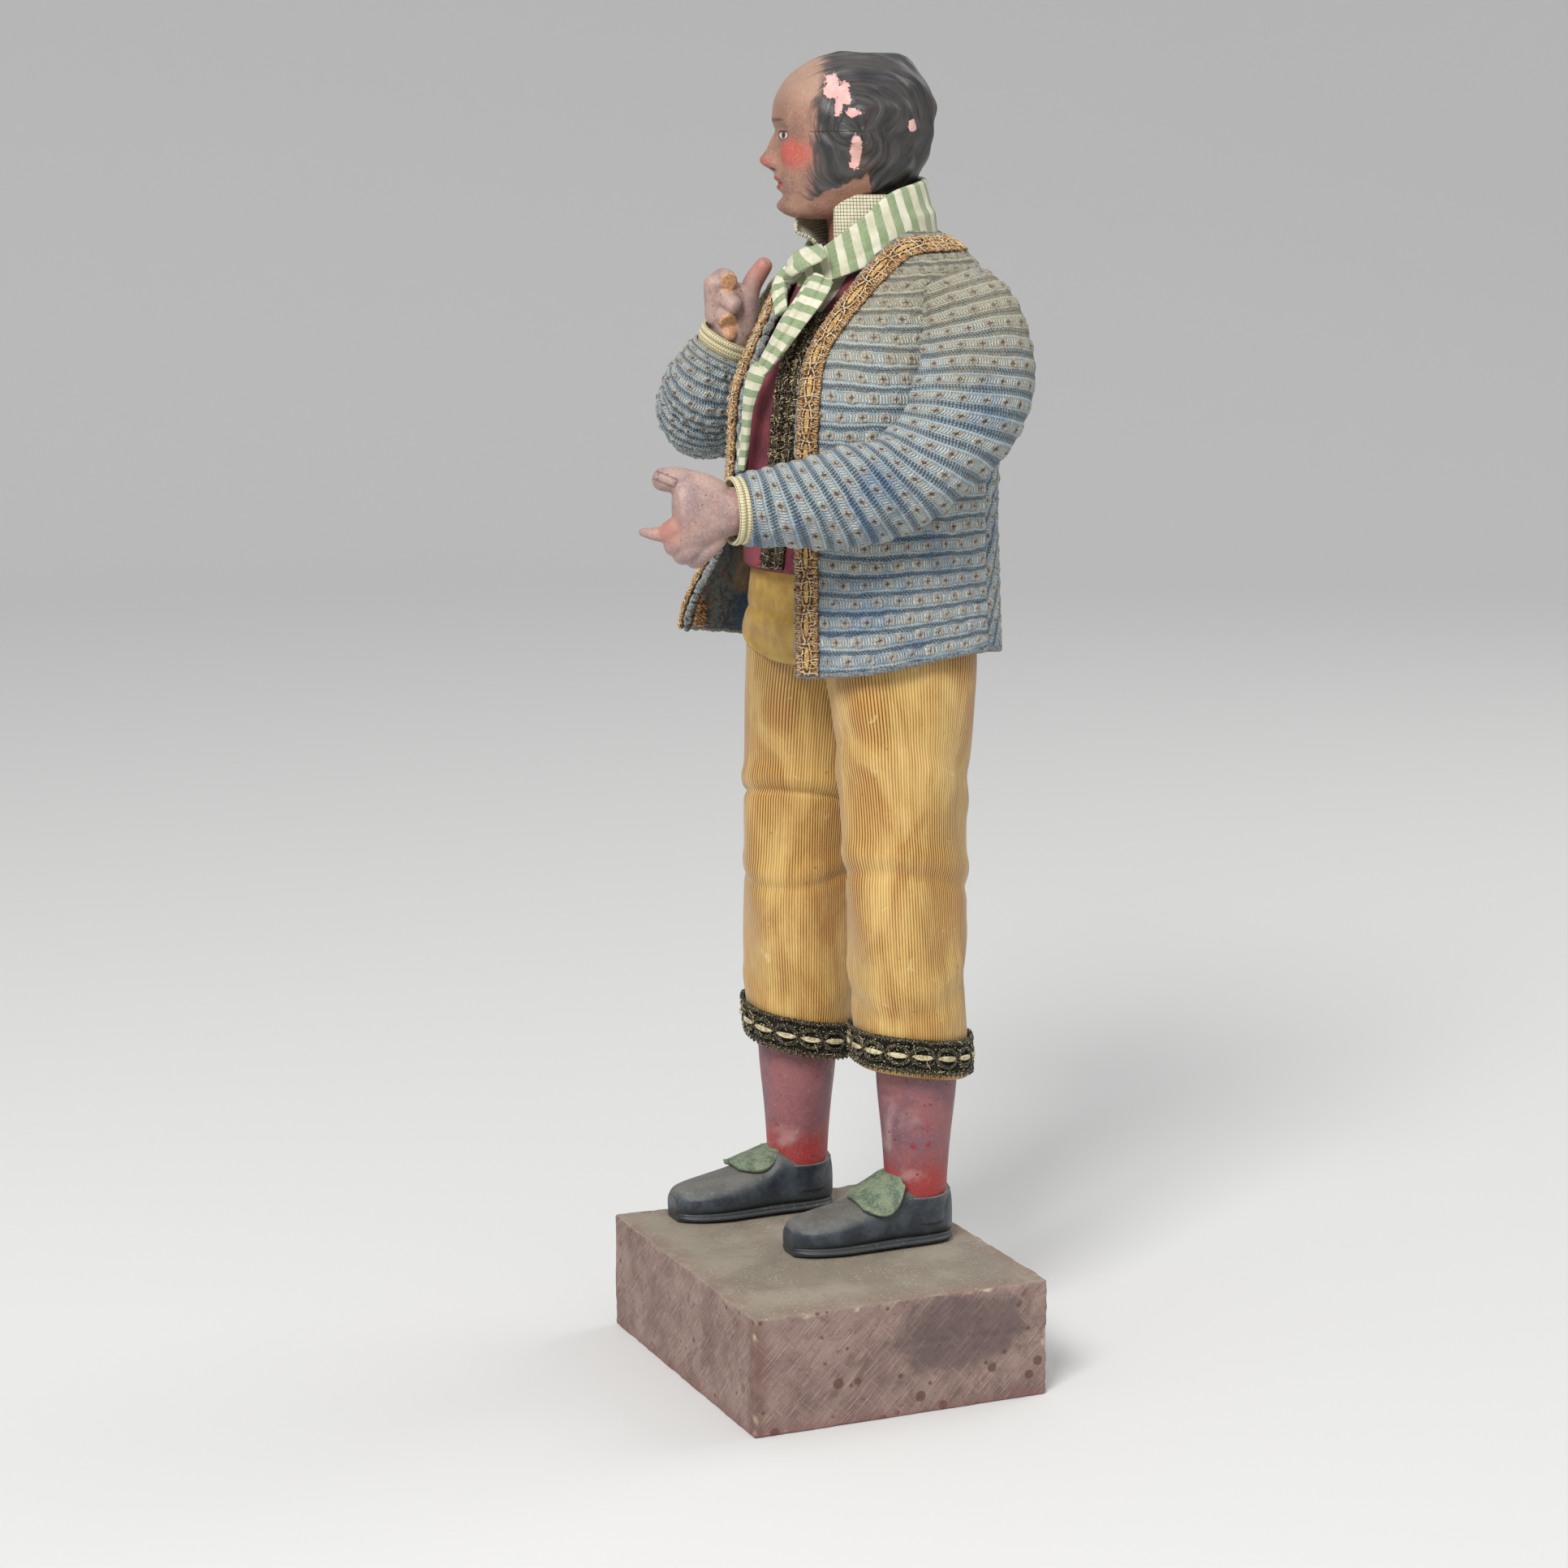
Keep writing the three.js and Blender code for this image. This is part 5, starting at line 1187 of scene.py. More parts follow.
def banded_wool():
    """Pale ribbed bands with a flower every few mm, and between them sunk rows of slanting blue stitches."""
    finish = Finish("banded_wool", Roughness=0.92, Sheen_Weight=0.2, Sheen_Roughness=0.5)
    where = finish.place()
    height = finish.split(where)[2]
    along, across = finish.cloth()
    rows = across / CLOTH_ROW
    in_row = rows.part()
    odd = ((rows - in_row) * 0.5).part() * 2
    level = in_row * CLOTH_ROW
    beside = ((along / FLOWER_PITCH + odd * 0.5).part() - 0.5).size() * FLOWER_PITCH
    above = (level - FLOWER_LEVEL).size()
    sunk = level.rise(2.3, 1.8).most(level.rise(5.5, 5.7))
    ribbed = level.rise(2.95, 3.15) * level.rise(5.1, 4.9)
    pinned = (level - 2.85).size().rise(0.3, 0.1) * 0.7 + (level - 5.15).size().rise(0.26, 0.08) * 0.7
    pinned = pinned + (level - 1.0).size().rise(0.3, 0.1)
    rib = along.wave(0.8)
    slant = (along + across * 0.55).wave(0.92)
    crossing = (along - across * 0.7).wave(1.3)
    petals = (beside.most(above) + (beside + above) * 0.35).rise(2.1, 1.7)
    eye = (beside.root() + above.root()).rise(1.28, 1.0)
    yarn = finish.cloud(where, 0.5, 3, 0.75)
    knots = finish.cloud(where, 1.3, 4, 0.7)
    soft = finish.cloud(where, 13, 5, 0.6)
    streak = finish.cloud((along * 0.22, across * 0.9), 5, 4, 0.62)
    faded = (height + soft * 46 - 23 + finish.upward() * 8).rise(282, 334)
    browned = (height + soft * 90 - 45).rise(286, 322) * knots.rise(0.34, 0.54)
    stained = (finish.cloud(where, 21, 4, 0.6) * 0.6 + streak * 0.5 + height.rise(300, 225) * 0.09
               - finish.upward() * 0.04).rise(0.6, 0.74)
    ribs_colour = finish.coats((218, 224, 216), (faded, 212, 209, 184), (stained * 0.7, 142, 166, 190))
    strip_colour = finish.coats((180, 196, 200), (faded, 194, 194, 172), (stained * 0.75, 116, 146, 172))
    light_stitch = finish.coats((150, 167, 175), (faded, 168, 166, 142), (stained * 0.85, 82, 116, 150))
    gap = finish.coats((66, 80, 94), (faded, 94, 92, 78), (stained * 0.85, 32, 56, 90))
    raised_part = finish.mix(ribbed, strip_colour, finish.mix(rib.rise(0.3, -0.7) * 0.6, ribs_colour, gap))
    raised_part = finish.mix((slant * 0.5 + yarn * 2 - 1).rise(0.1, 0.6) * 0.4, raised_part, gap)
    raised_part = finish.mix(pinned * (rib * 0.35 + 0.5), raised_part, gap)
    sunk_part = finish.mix((slant + crossing * 0.5).rise(-0.8, 0.4) * (pinned * -0.6 + 1), gap, light_stitch)
    colour = finish.mix(sunk, raised_part, sunk_part)
    blossom = finish.mix(knots.rise(0.4, 0.62), tint(168, 142, 116), tint(206, 194, 168))
    colour = finish.mix((petals - eye).most(0.0) * 0.66, colour, finish.mix(stained * 0.4, blossom, strip_colour))
    colour = finish.mix(eye * 0.9, colour, finish.mix(knots.rise(0.4, 0.6), tint(56, 60, 78), tint(92, 72, 72)))
    colour = finish.coats(
        colour,
        (browned * 0.42, 164, 146, 108),
        (yarn.rise(0.54, 0.74) * 0.6, 222, 224, 216),
        (yarn.rise(0.46, 0.28) * 0.6, 52, 60, 72),
        (knots.rise(0.44, 0.28) * 0.4, 66, 82, 100))
    relief = rib * ribbed * 0.35 + slant * sunk * 0.5 + (petals - eye * 1.8) * 0.6
    return finish.done(colour, relief - pinned * 0.5 + yarn * 0.8 + knots * 0.4, 0.6)


wool_finish = banded_wool()


def cloth_middle(u, v):
    return jacket_point(u, v, CLOTH_INWARD)


def jacket_cloth_point(u, v):
    return laid_on(cloth_middle, u, v, jacket_creases(u, v))


def lining_point(u, v):
    u, v = 0.004 + 0.992 * u, 0.004 + 0.99 * v
    return laid_on(cloth_middle, u, v, jacket_creases(u, v) - 0.85)


def lining_cloth():
    """Inside the jacket: brownish tan above, blue along the hem, and along the fronts a fringe of rough wool."""
    finish = Finish("jacket_inside", Roughness=0.95, Sheen_Weight=0.2)
    where = finish.place()
    along, across = finish.cloth()
    fuzz = finish.cloud(where, 0.6, 4, 0.8)
    patch = finish.cloud(where, 2.4, 5, 0.75)
    wool = finish.coats(
        (52, 70, 84),
        (patch.rise(0.42, 0.56), 122, 132, 128),
        (finish.cloud(where, 3.7, 4, 0.7).rise(0.52, 0.6) * 0.8, 132, 84, 58))
    tan = finish.mix(finish.cloud(where, 6, 4, 0.6).rise(0.4, 0.62), tint(168, 138, 108), tint(196, 168, 134))
    blue = finish.mix(fuzz.rise(0.42, 0.62), tint(44, 74, 102), tint(84, 116, 142))
    colour = finish.mix((across + patch * 6).rise(13, 17), blue, tan)
    colour = finish.mix((along.size() + patch * 6).rise(80, 84), colour, wool)
    colour = finish.coats(
        colour,
        (fuzz.rise(0.44, 0.3) * 0.6, 48, 54, 60),
        (fuzz.rise(0.58, 0.74) * 0.5, 206, 204, 190))
    return finish.done(colour, fuzz + patch * 0.6, 0.8)


jacket = surface("jacket_body", jacket_cloth_point, 268, 178, wall=1.3, raised=woven_body)
finish_piece(jacket, wool_finish, "knit_cloth", "jacket")
lining = surface("jacket_lining", lining_point, 170, 100, wall=0.45)
finish_piece(lining, lining_cloth(), "knit_cloth", "jacket")


# Gold braid
# A lace of gilt thread, 7 mm wide, sewn along the jacket's front edges and round its neck. A blue-grey
# selvedge binds the cloth's edge all round, and the lace's end is turned in at the right front corner.
BRAID_WIDTH = 7.4


def edge_line(inset):
    """A line over the jacket, a few mm in from its edge: up the left front, round the neck, down the right."""
    rows = np.linspace(0.001, 0.964, 160)
    rings = [jacket_point(np.linspace(0, 1, 60), np.full(60, row)) for row in rows]
    share_in = inset / np.array([np.linalg.norm(np.diff(ring, axis=0), axis=1).sum() for ring in rings])
    neck = np.linspace(0.085, 0.915, 60)
    u = np.concatenate([share_in, neck, 1 - share_in[::-1]])
    v = np.concatenate([rows, np.full_like(neck, 1 - inset / 150), rows[::-1]])
    spots = jacket_point(u, v)
    run = np.concatenate([[0], np.cumsum(np.linalg.norm(np.diff(spots, axis=0), axis=1))])
    even = np.linspace(0, run[-1], int(run[-1] / 0.5))
    u, v = np.interp(even, run, u), np.interp(even, run, v)
    soft = np.hanning(17)
    soft /= soft.sum()
    for values in (u, v):
        ends = values.copy()
        values[:] = np.convolve(np.pad(values, 8, mode="edge"), soft, mode="valid")
        values[:10], values[-10:] = ends[:10], ends[-10:]
    return even, u, v


edge_run, edge_u, edge_v = edge_line(BRAID_WIDTH / 2 + 0.9)


def gold_braid_place(s, w, lift):
    """s mm along the edge line, w mm beside it over the jacket."""
    def edge(s):
        return np.interp(s, edge_run, edge_u), np.interp(s, edge_run, edge_v)

    def on(u, v):
        return jacket_point(np.clip(u, 0, 1), np.clip(v, 0, 1), 0.0)

    s, w = np.broadcast_arrays(np.asarray(s, float), np.asarray(w, float))
    u, v = edge(s)
    step = 2e-3
    by_u = (on(u + step, v) - on(u - step, v)) / (np.clip(u + step, 0, 1) - np.clip(u - step, 0, 1))[..., None]
    by_v = (on(u, v + step) - on(u, v - step)) / (np.clip(v + step, 0, 1) - np.clip(v - step, 0, 1))[..., None]
    ahead = unit(on(*edge(s + 1)) - on(*edge(s - 1)))
    aside = np.cross(unit(np.cross(by_u, by_v)), ahead)
    uu, uv, vv = (by_u * by_u).sum(-1), (by_u * by_v).sum(-1), (by_v * by_v).sum(-1)
    bu, bv = (by_u * aside).sum(-1), (by_v * aside).sum(-1)
    det = uu * vv - uv * uv
    du, dv = (bu * vv - bv * uv) / det, (bv * uu - bu * uv) / det
    spot_u, spot_v = np.clip(u + du * w, 0, 1), np.clip(v + dv * w, 0, 1)
    return laid_on(on, spot_u, spot_v, 0.35 + lift)


gilt_ground = net("gilt_ground", tint(98, 62, 38), tint(178, 128, 80), tint(252, 236, 200), 0.2)
gilt_thread = metal_thread("gilt_thread", tint(138, 88, 52), tint(208, 158, 104), tint(255, 238, 200), 0.25)
silver_thread = metal_thread("silver_thread", tint(196, 160, 112), tint(246, 226, 188), tint(255, 252, 240), 0.15)
straw_thread = metal_thread("straw_thread", tint(176, 126, 72), tint(226, 182, 112), tint(255, 228, 168), 0.2)
sew("fall_front_threads", loose, 0.15, straw_thread, "gold_braid", "breeches", sides=5, stray=0.04)
lace("gold_braid", gold_braid_place, edge_run[-1], BRAID_WIDTH, 9.8,
     (gilt_ground, gilt_thread, silver_thread, straw_thread), "gold_braid", "jacket_braid")


def fuzzy(name, pale, shade):
    finish = Finish(name, Roughness=0.95, Sheen_Weight=0.4)
    where = finish.place()
    fuzz = finish.cloud(where, 0.6, 4, 0.8)
    colour = finish.mix(fuzz.rise(0.38, 0.62), shade, pale)
    return finish.done(colour, fuzz, 0.6)


UPRIGHT, ROUND_NECK, ALONG_HEM = 200, 118, 218
JACKET_GIRTH, JACKET_LENGTH = 190.0, 128.0
rim_u = np.concatenate([np.zeros(UPRIGHT), np.linspace(0, 1, ROUND_NECK + 2)[1:-1],
                        np.ones(UPRIGHT), np.linspace(1, 0, ALONG_HEM + 2)[1:-1]])
rim_v = np.concatenate([np.linspace(0, 1, UPRIGHT), np.ones(ROUND_NECK),
                        np.linspace(1, 0, UPRIGHT), np.zeros(ALONG_HEM)])
rim_line = laid_on(lambda u, v: jacket_point(u, v, 0.7), rim_u, rim_v, 0.25 * np.sin(np.arange(len(rim_u)) * 1.3))
rim_line[-ALONG_HEM:] = laid_on(jacket_cloth_point, rim_u[-ALONG_HEM:], rim_v[-ALONG_HEM:], np.full(ALONG_HEM, 0.5))
selvedge = fuzzy("blue_grey_selvedge", tint(160, 162, 154), tint(70, 82, 92))
sew("jacket_rim", [rim_line], 1.0, selvedge, "knit_cloth", "jacket", sides=8, closed=True, stray=0.14)
turned_in = []
for w in np.arange(1.6, 13, 0.8):
    run = np.linspace(0.8, 13.5 - 0.5 * w + 3 * math.sin(2.3 * w), 44)
    across = w + 0.8 * np.sin(run * 3.4 + 2.1 * w) + 0.4 * np.sin(run * 7.9 + w)
    turned_in.append(laid_on(cloth_middle, 1 - across / JACKET_GIRTH, run / JACKET_LENGTH,
                             -1.6 + 0.45 * np.sin(run * 5 + 1.7 * w)))
sew("gold_braid_turned_end", turned_in, 0.36, gilt_thread, "gold_braid", "jacket_braid", stray=0.1)


# Sleeves
# Two stuffed sleeves of the banded cloth, set into the jacket's shoulders and bent at the elbow. Their
# ends are turned in round the linen cuffs.
def carried_path(places):
    """A smooth path through places, sampled evenly, with a width direction carried along it."""
    places = [np.array(p, float) for p in places]
    knots = [2 * places[0] - places[1], *places, 2 * places[-1] - places[-2]]
    dense = []
    for i in range(1, len(knots) - 2):
        p0, p1, p2, p3 = knots[i - 1: i + 3]
        d0, d1, d2 = (max(np.linalg.norm(b - a) ** 0.5, 1e-4) for a, b in ((p0, p1), (p1, p2), (p2, p3)))
        t1 = ((p1 - p0) / d0 - (p2 - p0) / (d0 + d1) + (p2 - p1) / d1) * d1
        t2 = ((p2 - p1) / d1 - (p3 - p1) / (d1 + d2) + (p3 - p2) / d2) * d1
        s = np.linspace(0, 1, 60, endpoint=i == len(knots) - 3)[:, None]
        dense.append((2 * s ** 3 - 3 * s ** 2 + 1) * p1 + (s ** 3 - 2 * s ** 2 + s) * t1
                     + (3 * s ** 2 - 2 * s ** 3) * p2 + (s ** 3 - s ** 2) * t2)
    dense = np.concatenate(dense)
    run = np.concatenate([[0], np.cumsum(np.linalg.norm(np.diff(dense, axis=0), axis=1))])
    even = np.linspace(0, run[-1], 240)
    middle = np.stack([np.interp(even, run, dense[:, k]) for k in range(3)], 1)
    ahead = np.gradient(middle, axis=0)
    ahead /= np.linalg.norm(ahead, axis=1, keepdims=True)
    wide = np.zeros_like(middle)
    carried = np.array([1.0, 0, 0])
    for k in range(len(middle)):
        carried = carried - ahead[k] * carried.dot(ahead[k])
        carried /= np.linalg.norm(carried)
        wide[k] = carried
    return middle, ahead, wide, np.cross(wide, ahead), run[-1]


def limb(places, radii):
    """A tube along a path: at(turn, t) is its point at a turn and a share t of the length."""
    middle, ahead, wide, high, length = carried_path(places)
    size_at = course(radii)
    steps = np.linspace(0, 1, len(middle))

    def at(turn, t, grow=0.0, onward=0.0, scale=1.0):
        def pick(table):
            return np.stack([np.interp(t, steps, table[:, k]) for k in range(3)], -1)

        across, up = size_at(t)
        return (pick(middle) + pick(wide) * (np.cos(turn) * (across * scale + grow))[..., None]
                + pick(high) * (np.sin(turn) * (up * scale + grow))[..., None]
                + pick(ahead) * (np.asarray(onward, float) + 0 * t)[..., None])

    at.length = length
    at.end = middle[-1]
    at.direction = (middle[-1] - middle[-2]) / np.linalg.norm(middle[-1] - middle[-2])
    return at


FORWARD_ON_PHOTO, DOWN_ON_PHOTO = np.array([-0.664, -0.748, 0]), np.array([0.13, -0.116, -0.985])


def leaning_rows(arm, lean_at, t, spots):
    """How far down the arm each point's row of cloth lies, with rows leaning by an angle that changes along it."""
    def down(t):
        lean = np.radians(lean_at(t)[0])[..., None]
        return np.sin(lean) * FORWARD_ON_PHOTO + np.cos(lean) * DOWN_ON_PHOTO

    def beside(t):
        return ((spots - arm(0 * t, t, scale=0.0)) * down(t)).sum(-1)

    steps = np.linspace(0, 1, 200)
    middle = arm(0 * steps, steps, scale=0.0)
    run = np.concatenate([[0], np.cumsum((np.diff(middle, axis=0) * down(steps)[1:]).sum(-1))])
    t = t + 0 * spots[..., 0]
    for step in range(5):
        t = np.clip(t + 0.7 * beside(t) / arm.length, 0, 1)
    return np.interp(t, steps, run) + beside(t)


ROWS_LEAN = course([
    [0, -20], [0.1, -10], [0.2, -1], [0.3, 4], [0.4, 17], [0.5, 31], [0.6, 46], [0.7, 54], [0.8, 61],
    [0.9, 70], [1, 79]])
WRIST_RADIUS, CUFF_LENGTH, SOCKET_DEPTH = 7.0, 4.0, 6.0
CUFF_OUTER = WRIST_RADIUS + 0.3 + 1.0
arms = {
    "left": limb(
        [(34, 1, 284), (42.4, 0.5, 272), (45.5, -1.5, 257), (42.6, -10, 242), (38.8, -24, 230.6),
         (31.5, -47, 226), (23.2, -69, 224.4)],
        [[0, 12, 12], [0.12, 16, 16], [0.3, 17.4, 17.4], [0.45, 14.6, 14.8], [0.7, 13.4, 14.2],
         [0.9, 11.6, 11.8], [1, 10, 10.2]]),
    "right": limb(
        [(-32.4, 3.6, 279.6), (-44, 9, 270), (-59, 11, 257), (-69, 4, 247), (-65, -8, 245),
         (-53.5, -17.2, 253.5), (-47, -15.2, 265.5)],
        [[0, 11.5, 11.5], [0.15, 13.2, 13.2], [0.4, 14.2, 14.2], [0.65, 14.4, 14.4], [0.85, 12.4, 12.4],
         [1, 9.6, 9.8]])}
THUMBS = {"left": (0, 0, 1), "right": (0.66, 0.75, 0)}
SEAM_TURN = {"left": 3.6, "right": 0.4}
SLEEVE_SHORT = {"left": 0.0, "right": 2.2}
SLEEVE_END_RADIUS = {"left": 10.0, "right": 9.7}
TURNED_IN = 0.08
SLEEVE_FOLDS = {
    "left": [(-1.9, 0.43, 0.014), (-1.5, 0.495, 0.012), (1.0, 0.462, 0.014), (0.8, 0.53, 0.02), (-0.7, 0.36, 0.014)],
    "right": [(-1.3, 0.58, 0.016), (-1.2, 0.66, 0.016), (0.9, 0.62, 0.016), (0.8, 0.74, 0.018), (-0.9, 0.8, 0.016)]}


def around_the_jacket(clear):
    """The whole room the jacket's body takes, closed in front, for cutting what is sewn against it."""
    front = 0.03

    def point(u, v):
        spots = laid_on(jacket_point, np.clip(u / (1 - front), 0, 1), v, CLOTH_WALL + clear + 0 * u)
        share = np.clip((u - 1 + front) / front, 0, 1)[..., None]
        first = laid_on(jacket_point, np.zeros_like(u), v, CLOTH_WALL + clear + 0 * u)
        return spots * (1 - share) + first * share

    return surface("jacket_room", point, 130, 90, closed=True, capped=True)


def cut(piece, cutter):
    select(piece)
    modify(piece, "BOOLEAN", operation="DIFFERENCE", solver="EXACT", object=cutter)


def sleeve_creases(side, turn, t):
    """How far a sleeve stands out from its even shape: folds inside the elbow and a soft uneven swell."""
    folds = sum(height * bump(t, middle, spread) for height, middle, spread in SLEEVE_FOLDS[side])
    if side == "left":
        folds = folds * bump(np.cos(turn - 2.6), 1, 0.55)
        return folds + 0.35 * np.sin(2 * turn + 16 * t) + 0.25 * np.sin(3 * turn - 34 * t)
    folds = folds * (0.5 + 0.5 * bump(np.cos(turn - 2.4), 1, 0.7))
    return folds + 0.4 * np.sin(2 * turn + 18 * t) + 0.3 * np.sin(3 * turn - 30 * t)


jacket_heights = jacket_row(even_rows)[0]


def off_the_jacket(spots):
    """About how far points lie outside the jacket's body, in mm."""
    x, y, z = spots[..., 0], spots[..., 1], spots[..., 2]
    row = np.interp(z, jacket_heights, even_rows)
    drop = 0.2 * (np.hypot(x, 4) - x) / 2 * ramp(row, 0.55, 0.85)
    row = np.interp(z + drop, jacket_heights, even_rows)
    _, half_width, front, behind, _, _, boxiness = jacket_row(row)
    depth = np.where(y < 0, front, behind)
    level = ((np.abs(x) / half_width) ** boxiness + (np.abs(y) / depth) ** boxiness) ** (1 / boxiness)
    return (level - 1) * np.minimum(half_width, depth)


def keep_largest(piece):
    """Drops the small bodies that a cut leaves beside the main one."""
    select(piece)
    bpy.ops.object.mode_set(mode="EDIT")
    bpy.ops.mesh.select_all(action="SELECT")
    bpy.ops.mesh.separate(type="LOOSE")
    bpy.ops.object.mode_set(mode="OBJECT")
    parts = sorted(bpy.context.selected_objects, key=lambda part: len(part.data.vertices))
    name = piece.name
    for part in parts[:-1]:
        bpy.data.objects.remove(part, do_unlink=True)
    parts[-1].name = name.split(".")[0]
    bpy.context.view_layer.objects.active = parts[-1]
    return parts[-1]


cuff_finish = weave("cuff_linen", tint(222, 212, 172), tint(140, 122, 84), 0.8)
jacket_room = around_the_jacket(0.1)
for side, arm in arms.items():
    def sleeve_point(u, v):
        turn = SEAM_TURN[side] - 2 * np.pi * u
        t = np.clip(v / (1 - TURNED_IN), 0, 1) * (1 - SLEEVE_SHORT[side] / arm.length)
        k = np.clip((v - 1 + TURNED_IN) / TURNED_IN, 0, 1)
        scale = 1 - ramp(k, 0, 0.35) * (1 - (CUFF_OUTER + 0.3) / SLEEVE_END_RADIUS[side])
        onward = 0.9 * bump(k, 0.18, 0.16) - (SOCKET_DEPTH + 0.8) * np.clip((k - 0.35) / 0.65, 0, 1)
        creases_here = sleeve_creases(side, turn, t) * ramp(t, 0.02, 0.1) * (1 - ramp(t, 0.9, 0.99))
        seam = off_the_jacket(arm(turn, t, creases_here))
        gathered = 0.5 * np.sin(17 * turn) * bump(seam, 3.0, 2.2)
        gathered = gathered - 1.5 * bump(seam, 0.4, 1.5) + 0.7 * bump(seam, 4.4, 2.6)
        return arm(turn, t, creases_here + gathered * (t < 0.5), onward, scale)

    def sleeve_rows(along, across, spots):
        t = np.clip(np.linspace(0, 1, len(spots))[:, None] / (1 - TURNED_IN), 0, 1)
        if side == "left":
            along, across, height = woven(along, leaning_rows(arm, ROWS_LEAN, t, spots), spots)
            turn = SEAM_TURN[side] - 2 * np.pi * np.linspace(0, 1, spots.shape[1])
            height = height * (1 - bump(t, 0.45, 0.06) * bump(np.cos(turn - 2.6), 1, 0.7))
        else:
            bunched = t * arm.length - 64
            along, across, height = woven(along, across + 0.55 * (np.hypot(bunched, 6) + bunched), spots)
            height = height * (1 + 0.8 * ramp(t, 0.5, 0.65))
        return along, across, height * (1 - 0.8 * ramp(t, 0.97, 1.0))

    sleeve = surface(f"sleeve_{side}", sleeve_point, 130, 200, closed=True, capped=True, raised=sleeve_rows)
    cut(sleeve, jacket_room)
    sleeve = keep_largest(sleeve)
    finish_piece(sleeve, wool_finish, "knit_cloth", f"jacket_sleeve_{side}")

    def cuff_point(u, v):
        turn = SEAM_TURN[side] - 2 * np.pi * u
        edge = CUFF_OUTER + 0.15 * np.sin(3 * turn) + 0.95 * ramp(v, 0.3, 0.75)
        edge += 0.35 * bump(v, 0.93, 0.05) - 0.45 * bump(v, 0.83, 0.02) + 0.25 * bump(v, 0.7, 0.07)
        onward = -SOCKET_DEPTH + v * (SOCKET_DEPTH + CUFF_LENGTH) + 0.4 * np.sin(turn + 1) * v
        return arm(turn, np.ones_like(u), edge - 1.0 - SLEEVE_END_RADIUS[side], onward)

    cuff = surface(f"cuff_{side}", cuff_point, 80, 40, closed=True, wall=0.95)
    finish_piece(cuff, cuff_finish, "linen", f"shirt_cuff_{side}")
bpy.data.objects.remove(jacket_room, do_unlink=True)


# Hands
# Terracotta castings let into the cuffs, painted a pale greyish flesh. The left one points with its thumb
# and first finger; the right one is raised, and its curled fingers are broken off and show orange clay.
END_SHARE = 0.12


def rounded(name, at, place_in, end=True):
    """A closed tube along a limb, rounded at its start and, unless it is broken off, at its end."""
    def point(u, v):
        t = np.clip((v - END_SHARE) / (1 - 2 * END_SHARE), 0, 1)
        first, last = (np.clip(1 - run / END_SHARE, 0, 1) for run in (v, 1 - v))
        scale = np.cos(first * np.pi / 2 * 0.98) * np.cos(last * np.pi / 2 * 0.98)
        onward = 0.9 * at.thick(t) * (np.sin(last * np.pi / 2) * end - np.sin(first * np.pi / 2))
        return place_in(at(-2 * np.pi * u, t, 0.0, onward, scale))

    return surface(name, point, 28, 44, closed=True, capped=True)


def cast(name, parts, voxel, smoothing):
    """Joins parts into one casting with softened joints."""
    select(*parts)
    bpy.ops.object.join()
    piece = bpy.context.object
    piece.name = name
    modify(piece, "REMESH", mode="VOXEL", voxel_size=voxel * 0.001)
    modify(piece, "SMOOTH", factor=0.5, iterations=smoothing)
    bpy.ops.object.shade_smooth()
    return piece


def finger(places, sizes):
    """A finger through places, with its radius at even steps of its length."""
    at = limb(places, [[k / (len(sizes) - 1), size, size] for k, size in enumerate(sizes)])
    at.thick = lambda t: np.interp(t, np.linspace(0, 1, len(sizes)), sizes)
    return at


def hand_frame(side):
    """The hand's own directions (on along the arm, across, to the thumb) and its wrist."""
    end, direction = arms[side].end, arms[side].direction
    across = unit(np.cross(THUMBS[side], direction))
    return np.stack([direction, across, np.cross(direction, across)], 1), end + direction * CUFF_LENGTH


def palm_point(length, stations, lean):
    size_at = course(stations)
    start = -SOCKET_DEPTH - CUFF_LENGTH + 0.3

    def point(u, v):
        x = start + v * (length - start)
        high, wide = size_at(v)
        turn = 2 * np.pi * u
        radius = WRIST_RADIUS * (1 - 0.92 * ramp(v, 0.96, 1.0) ** 2)
        return points_of(x, np.cos(turn) * wide * radius, np.sin(turn) * high * radius - lean * np.maximum(0, x))
    return point


RIGHT_LEAN = 0.5


def leaning(places):
    """Places in the right hand, which is bent down at the wrist."""
    return [(x, y, z - RIGHT_LEAN * max(0, x)) for x, y, z in places]


